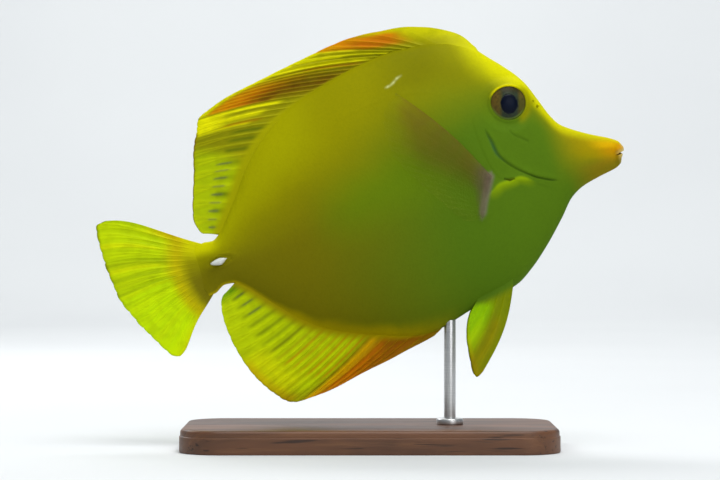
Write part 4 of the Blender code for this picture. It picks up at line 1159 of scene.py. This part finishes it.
class Finish:
    """A material in the making. still values are the same all over."""

    def __init__(self, name, **still):
        self.material = bpy.data.materials.new(name)
        self.material.use_nodes = True
        self.tree = self.material.node_tree
        self.shader = self.tree.nodes["Principled BSDF"]
        for socket, value in still.items():
            self.shader.inputs[socket.replace("_", " ")].default_value = value

    def node(self, kind, settings=(), sockets=()):
        """Adds a node: its settings first, then a value or a link for each socket."""
        made = self.tree.nodes.new(kind)
        for name, value in dict(settings).items():
            setattr(made, name, value)
        for key, value in dict(sockets).items():
            self.feed(made.inputs[key], value)
        return made

    def feed(self, socket, value):
        """Links a changing value to a socket, or sets a still one on it."""
        if isinstance(value, Value):
            value = value.socket
        if isinstance(value, bpy.types.NodeSocket):
            self.tree.links.new(value, socket)
        elif isinstance(value, tuple) and socket.type == "RGBA":
            socket.default_value = (*value[:3], 1)
        else:
            socket.default_value = value

    def mark(self, name):
        """A mark that was worked out for each point of the mesh."""
        made = self.node("ShaderNodeAttribute", {"attribute_name": name})
        return Value(self, made.outputs["Fac"])

    def place(self, stretch=(1, 1, 1)):
        """The place on the surface in metres, stretched along the axes."""
        here = self.node("ShaderNodeTexCoord").outputs["Object"]
        made = self.node("ShaderNodeVectorMath", {"operation": "MULTIPLY"}, {0: here, 1: stretch})
        return made.outputs[0]

    def noise(self, scale, detail=3, roughness=0.5, stretch=(1, 1, 1), distortion=0):
        """Cloudy noise from 0 to 1 about 0.5, with scale in spots per metre."""
        made = self.node("ShaderNodeTexNoise", {}, {
            "Vector": self.place(stretch), "Scale": scale, "Detail": detail,
            "Roughness": roughness, "Distortion": distortion})
        return Value(self, made.outputs[0])

    def grains(self, scale, stretch=(1, 1, 1)):
        """Distance to the nearest of many scattered grains."""
        made = self.node("ShaderNodeTexVoronoi", {}, {
            "Vector": self.place(stretch), "Scale": scale})
        return Value(self, made.outputs["Distance"])

    def layered(self, colour, *layers):
        """A colour with others laid over it in turn, each as (colour, share)."""
        for over, share in layers:
            made = self.node("ShaderNodeMix", {"data_type": "RGBA", "clamp_factor": True},
                             {0: share, 6: colour, 7: over})
            colour = made.outputs[2]
        return colour

    def surface(self, colour, rough, relief=None, depth=0, strength=0.4, **others):
        """Finishes the material, its fine relief from a height of 0 to 1 and a depth in metres."""
        sockets = {"Base Color": colour, "Roughness": rough, **others}
        if relief is not None:
            bump = self.node("ShaderNodeBump", {},
                             {"Strength": strength, "Distance": depth, "Height": relief})
            sockets["Normal"] = bump.outputs[0]
        for name, value in sockets.items():
            self.feed(self.shader.inputs[name], value)
        return self.material


def body_colour(finish):
    """The colour of the flesh by its place, which the roots of the fins share. Its layers by level
    are painted light and shade: green low on the flank, olive higher up and yellow on top, as lit
    from above.
    """
    cloud = finish.noise(55, 3, 0.55) - 0.5
    patch = finish.noise(24, 2, 0.5) - 0.5
    along = finish.mark("along") + 14 * patch
    level = finish.mark("level") + 0.16 * cloud + 0.08 * patch
    band = level.eased(-0.35, 0.1) * level.eased(0.5, 0.15)
    nape = level.eased(0.55, 0.8) * level.eased(1.08, 0.94)
    # Painted light: the top of the head and the upper tail stalk are painted bright yellow, as lit
    # from above.
    sunlit_crown = level.eased(0.62, 0.98) * along.eased(48, 36)
    sunlit_crown = sunlit_crown.most(level.eased(0.3, 0.8) * along.eased(138, 147))
    # Painted light and shade: the layers that follow level darken and green the flank low down and
    # lighten it towards the back.
    colour = finish.layered(
        SHADED_FLANK_GREEN,
        (FLANK_OLIVE, along.eased(55, 122)),
        (BAND_GREEN, 0.7 * band * along.eased(52, 76) * along.eased(116, 92)),
        (BACK_OLIVE, (level + 0.005 * along).eased(0.46, 1.2)),
        (REAR_OLIVE, 0.8 * level.eased(0.3, 0.8) * along.eased(92, 112)),
        (NAPE_OLIVE, 0.7 * nape * along.eased(38, 48) * along.eased(84, 62)),
        (PAINTED_SUNLIT_YELLOW, sunlit_crown),
        # Painted light: the underside is lightened towards the anal fin, in place of light from
        # below.
        (BELLY_PAINTED_LIGHT_GOLD, level.eased(-0.84, -1) * along.eased(66, 92)),
    )
    along = finish.mark("along") + 3 * cloud
    level = finish.mark("level")
    # A painted highlight: an amber band along the upper side of the snout.
    glow = level.eased(0.2, 0.5) * level.eased(0.9, 0.6) * along.eased(0.5, 3)
    return finish.layered(
        colour,
        (SNOUT_GOLD, along.eased(27, 11) * level.eased(-0.8, 0.3)),
        (JAW_OLIVE, along.eased(22, 10) * level.eased(0, -0.5)),
        (SNOUT_ORANGE, (along + 7 * patch).eased(13, 2) * level.eased(-0.8, 0.25)),
        (SNOUT_HIGHLIGHT_AMBER, 0.55 * glow * along.eased(14, 6)),
        # Painted light: the upper head is painted a lighter yellow, as lit from above.
        (PAINTED_SUNLIT_YELLOW, level.eased(0.55, 1) * along.eased(60, 20, 0, 0.75)),
    )


def skin_finish():
    """Fine velvety scales, with painted shade in the grooves and pits of the head and painted
    highlights over the eye and on the shoulder.
    """
    finish = Finish("tang_skin", Specular_IOR_Level=0.03)
    mark = finish.mark
    fine = finish.noise(1100, 2, 0.6)
    colour = finish.layered(
        body_colour(finish),
        # A fine random speckle of the dark green.
        (SPECKLE_AND_CREASE_SHADE_GREEN, fine.eased(0.62, 0.3, 0, 0.06)),
        # Painted highlight on the shoulder ridge behind the gill cover.
        (SHOULDER_HIGHLIGHT_LIME, 0.8 * mark("ridge")),
        (BACK_OLIVE, 0.75 * mark("shade")),
        # Painted highlight along the top of the eye's rim.
        (LID_HIGHLIGHT_YELLOW, mark("lid")),
        (STRIP_LILAC, 0.8 * mark("strip").eased(0.1, 0.95)),
        # Painted shade in the cheek groove and the fold.
        (SPECKLE_AND_CREASE_SHADE_GREEN, 0.75 * mark("crease")),
        # Teal in the upper cheek groove, darkened with painted shade.
        (GROOVE_TEAL_SHADE, mark("groove")),
        # Painted shadow in the gill corner and the nostril pits.
        (PIT_SHADE_DARK, mark("spot")),
        (LIP_CREAM, 0.7 * mark("lip")),
        # Painted shade in the mouth's slit.
        (MOUTH_SLIT_SHADE, mark("mouth").eased(0.2, 0.7)),
        # Painted shade on the socket's wall.
        (SOCKET_SHADE_DARK, mark("socket")),
        (SCRATCH_PALE, 0.85 * mark("scratch")),
    )
    scales = finish.grains(1500, stretch=(1, 1, 0.72))
    relief = 0.75 * scales.eased(0, 0.75) + 0.25 * finish.noise(420, 3)
    return finish.surface(colour, 0.46 + 0.2 * finish.noise(300, 3), relief, SCALE_DEPTH)


def fin_finish(name, olive=FIN_OLIVE, lime=FIN_LIME, shine=0.14, extra=()):
    """Membrane with olive, orange and yellow folds between its rays."""
    finish = Finish(name, Specular_IOR_Level=0.05)
    mark = finish.mark
    mottle = finish.noise(160, 3, 0.6)
    along = finish.noise(260, 2, 0.5)
    colour = finish.layered(
        olive,
        (lime, mark("lime")),
        # On the dorsal fin the bright mark is painted highlight on the folds and the top edge.
        (FIN_YELLOW, mark("bright")),
        (FIN_ORANGE, mark("orange") * mottle.eased(0.2, 0.5, 0.75, 1)),
        (FIN_BROWN, mark("brown") * mottle.eased(0.25, 0.6, 0.65, 1)),
        # On the dorsal and tail fins the dark mark is painted shade along the folds and pleats.
        (FIN_SHADE, 0.8 * mark("dark")),
        *((shade, strength * mark(word)) for word, shade, strength in extra),
        (SLIT_GREY, 0.7 * mark("slit")),
        (FIN_YELLOW, shine * mark("ridge")),
        (FIN_SHADE, along.eased(0.6, 0.3, 0, 0.14)),
    )
    colour = finish.layered(body_colour(finish), (colour, mark("bare")))
    relief = 0.5 * finish.grains(900).eased(0, 0.7) + 0.5 * finish.noise(700, 3)
    clear = mark("slit").eased(0.2, 1, 1, 0.86)
    rough = 0.4 + 0.22 * finish.noise(350, 2)
    return finish.surface(colour, rough, relief, SCALE_DEPTH, 0.5, Alpha=clear)


def pectoral_finish():
    """Clear membrane whose leading part is painted brownish as shade, with a lilac root."""
    finish = Finish("pectoral_membrane", Specular_IOR_Level=0.04)
    ridge, lead, pink = finish.mark("ridge"), finish.mark("lead"), finish.mark("pink")
    mottle = finish.noise(220, 3)
    colour = finish.layered(
        PECTORAL_CLEAR,
        # Painted shade tints the leading part brown.
        (PECTORAL_SHADE_BROWN, lead.eased(0, 0.5)),
        (PECTORAL_CLEAR, 0.3 * ridge),
        (STRIP_LILAC, pink * ridge.eased(0, 0.8, 0.7, 1)),
    )
    clear = 0.02 + 0.22 * lead + 0.05 * ridge + 0.3 * pink * pink + 0.1 * finish.mark("edge")
    clear = clear * mottle.eased(0.2, 0.8, 0.8, 1.2)
    relief = finish.noise(700, 3)
    return finish.surface(colour, 0.36 + 0.2 * mottle, relief, SOFT_DEPTH, Alpha=clear)


def eye_finish():
    """A moist eye: dark pupil in a brown iris that turns orange behind, with painted shadow of the
    brow over the iris's top.
    """
    finish = Finish("eye", Specular_IOR_Level=0.06, Coat_Weight=0.03, Coat_Roughness=0.1)
    pupil, out = finish.mark("pupil"), finish.mark("out")
    ahead, above = finish.mark("ahead"), finish.mark("above")
    fibres = finish.noise(900, 3, 0.6)
    colour = finish.layered(
        IRIS_BROWN,
        (IRIS_ORANGE, (ahead + 2 * (fibres - 0.5)).eased(-1.6, -4.2)),
        (IRIS_ORANGE, ahead.eased(2.6, 4) * above.eased(0.6, 2.8, 0, 0.8)),
        (IRIS_TEAL, 0.85 * ahead.eased(-3.3, -1.7) * ahead.eased(4.1, 2.6)),
        (IRIS_DARK, fibres.eased(0.56, 0.3, 0, 0.5)),
        (IRIS_FLECK, finish.grains(2200).eased(0.28, 0.05, 0, 0.3)),
        # Painted shadow of the brow across the top of the iris.
        (IRIS_BROW_SHADOW, above.eased(2.2, 4.8, 0, 0.9)),
        (IRIS_RIM, out.eased(5.2, 5.8) * above.eased(-1, -4, 0, 0.8)),
        (IRIS_DARK, out.eased(5.3, 5.9, 0, 0.4) * above.eased(-2, 1)),
        (PUPIL_BLUE, (pupil + 0.3 * (fibres - 0.5)).eased(1.12, 0.9)),
        (PUPIL_HAZE, pupil.eased(0.95, 0.3, 0, 0.4)),
    )
    return finish.surface(colour, 0.3 + 0.15 * fibres, fibres, SOFT_DEPTH)


def blade_finish():
    """Smooth white spine, a little yellow at its root."""
    finish = Finish("blade", Specular_IOR_Level=0.3)
    cloud = finish.noise(700, 3)
    colour = finish.layered(
        BLADE_WHITE,
        (BLADE_CREAM, cloud.eased(0.4, 0.75, 0, 0.5)),
        (BLADE_CREAM, finish.mark("ahead").eased(1.6, 3.4, 0, 0.8)),
    )
    ribs = finish.noise(1200, 2, stretch=(0.3, 1, 1.6))
    return finish.surface(colour, 0.28 + 0.14 * cloud, ribs, BLADE_GRAIN)


def wood_finish():
    """Dark oiled hardwood with its grain along the base."""
    finish = Finish("oiled_wood", Specular_IOR_Level=0.45)
    rings = finish.noise(34, 4, 0.62, stretch=(0.16, 1, 0.9), distortion=0.9)
    fibres = finish.noise(420, 4, 0.7, stretch=(0.05, 1, 1))
    pores = finish.noise(950, 2, 0.5, stretch=(0.06, 1, 1))
    colour = finish.layered(
        WOOD_BROWN,
        (WOOD_RED, rings.eased(0.36, 0.62)),
        (WOOD_PALE, fibres.eased(0.5, 0.78, 0, 0.45)),
        (WOOD_PORE, pores.eased(0.4, 0.26, 0, 0.75)),
    )
    relief = 0.6 * fibres + 0.4 * pores.eased(0.26, 0.44)
    return finish.surface(colour, 0.32 + 0.3 * fibres, relief, WOOD_GRAIN, 0.6)


def steel_finish():
    """Turned steel with fine lines round it."""
    finish = Finish("turned_steel", Metallic=1)
    lines = finish.noise(2600, 2, 0.6, stretch=(0.04, 0.04, 1))
    colour = finish.layered(STEEL_DARK, (STEEL_PALE, lines))
    rough = 0.2 + 0.16 * lines + 0.1 * finish.noise(160, 3)
    return finish.surface(colour, rough, lines, STEEL_GRAIN, 0.5)


def studio_finish():
    """Pale matt paper with a faint cloud in it."""
    finish = Finish("studio_paper", Specular_IOR_Level=0.1)
    colour = finish.layered(PAPER_PALE, (PAPER_GREY, finish.noise(3, 2)))
    return finish.surface(colour, 0.85 + 0.05 * finish.noise(40))


# The studio

CAMERA_X = -0.0033
CAMERA_Z = 0.0712
CAMERA_AWAY = 0.9
VIEW_WIDE = 0.24686
SENSOR_WIDE = 36


def build_camera():
    """Level with the fish's middle and square to its side, as the photo shows it."""
    data = bpy.data.cameras.new("camera")
    data.sensor_width = SENSOR_WIDE
    data.lens = SENSOR_WIDE * CAMERA_AWAY / VIEW_WIDE
    data.clip_start = 0.01
    camera = bpy.data.objects.new("camera", data)
    camera.location = (CAMERA_X, -CAMERA_AWAY, CAMERA_Z)
    camera.rotation_euler = (math.pi / 2, 0, 0)
    bpy.context.scene.collection.objects.link(camera)
    bpy.context.scene.camera = camera


def build_studio():
    """A pale paper floor that curves up behind, under soft lights."""
    depth = [-2.5, -1, 0, 1.3]
    profile = [(y, 0) for y in depth]
    bend = 0.7
    for turn in np.radians(np.arange(6, 91, 6)):
        profile.append((depth[-1] + bend * math.sin(turn), bend - bend * math.cos(turn)))
    profile.append((depth[-1] + bend, 3))
    places = [(x, y, z) for y, z in profile for x in (-3, 3)]
    faces = [(2 * i, 2 * i + 1, 2 * i + 3, 2 * i + 2) for i in range(len(profile) - 1)]
    mesh = bpy.data.meshes.new("studio_sweep")
    mesh.from_pydata(places, [], faces)
    mesh.shade_smooth()
    mesh.materials.append(studio_finish())
    sweep = bpy.data.objects.new("studio_sweep", mesh)
    bpy.context.scene.collection.objects.link(sweep)

    for name, place, aim, size, power in (
        ("overhead", (0.15, -0.35, 0.95), (0, 0, 0.08), 0.7, 8),
        ("front_fill", (0.5, -1.1, 0.3), (0, 0, 0.07), 0.8, 3.2),
        ("back_rim", (-0.5, 0.55, 0.6), (0, 0, 0.1), 0.5, 3),
        ("backdrop", (0, 1.1, 1.6), (0, 1.9, 0.4), 1.2, 20),
    ):
        data = bpy.data.lights.new(name, "AREA")
        data.shape = "DISK"
        data.size = size
        data.energy = power
        light = bpy.data.objects.new(name, data)
        light.location = place
        light.rotation_mode = "QUATERNION"
        light.rotation_quaternion = (Vector(aim) - Vector(place)).to_track_quat("-Z", "Y")
        bpy.context.scene.collection.objects.link(light)

    world = bpy.data.worlds.new("studio_air")
    world.use_nodes = True
    world.node_tree.nodes["Background"].inputs["Color"].default_value = (0.86, 0.93, 1, 1)
    world.node_tree.nodes["Background"].inputs["Strength"].default_value = 0.35
    bpy.context.scene.world = world
    bpy.context.scene.view_settings.view_transform = "Standard"


def build_fish():
    """Skin, fins, eyes and spines, with their finishes."""
    build_skin(skin_finish())
    build_dorsal(fin_finish("dorsal_membrane", lime=DORSAL_LIME,
                            extra=(("amber", FIN_AMBER, 0.6), ("rim", FIN_BROWN, 0.7))))
    build_anal(fin_finish("anal_membrane", lime=ANAL_LIME, shine=0.08,
                          extra=(("gold", FIN_GOLD, 0.9), ("green", FIN_GREEN, 0.7))))
    build_tail(fin_finish("tail_membrane", lime=TAIL_LIME, shine=0.08,
                          # The tail's glow is painted light.
                          extra=(("rim", TAIL_RIM, 0.6), ("glow", FIN_LIT_GLOW, 0.6))))
    pelvic = fin_finish("pelvic_membrane", PELVIC_OLIVE, PELVIC_LIME, 0.04)
    pectoral = pectoral_finish()
    eye = eye_finish()
    blade = blade_finish()
    for side, word in SIDES:
        build_pectoral(side, word, pectoral)
        build_pelvic(side, word, pelvic)
        build_eye(side, word, eye)
        build_blade(side, word, blade)


def build_stand():
    """The base, with the rod and its collar standing in it."""
    steel = steel_finish()
    build_base(wood_finish())
    rod = rounded(ROD_RADIUS, ROD_FOOT, ROD_TOP, 0.4)
    turned("rod", rod, ROD_X, steel, "stand_steel", ("stand_rod",))
    turned("rod_collar", rounded(4.6, BASE_THICKNESS - 0.2, BASE_THICKNESS + 2.2, 0.7), ROD_X,
           steel, "stand_steel")


build_camera()
build_studio()
build_fish()
build_stand()
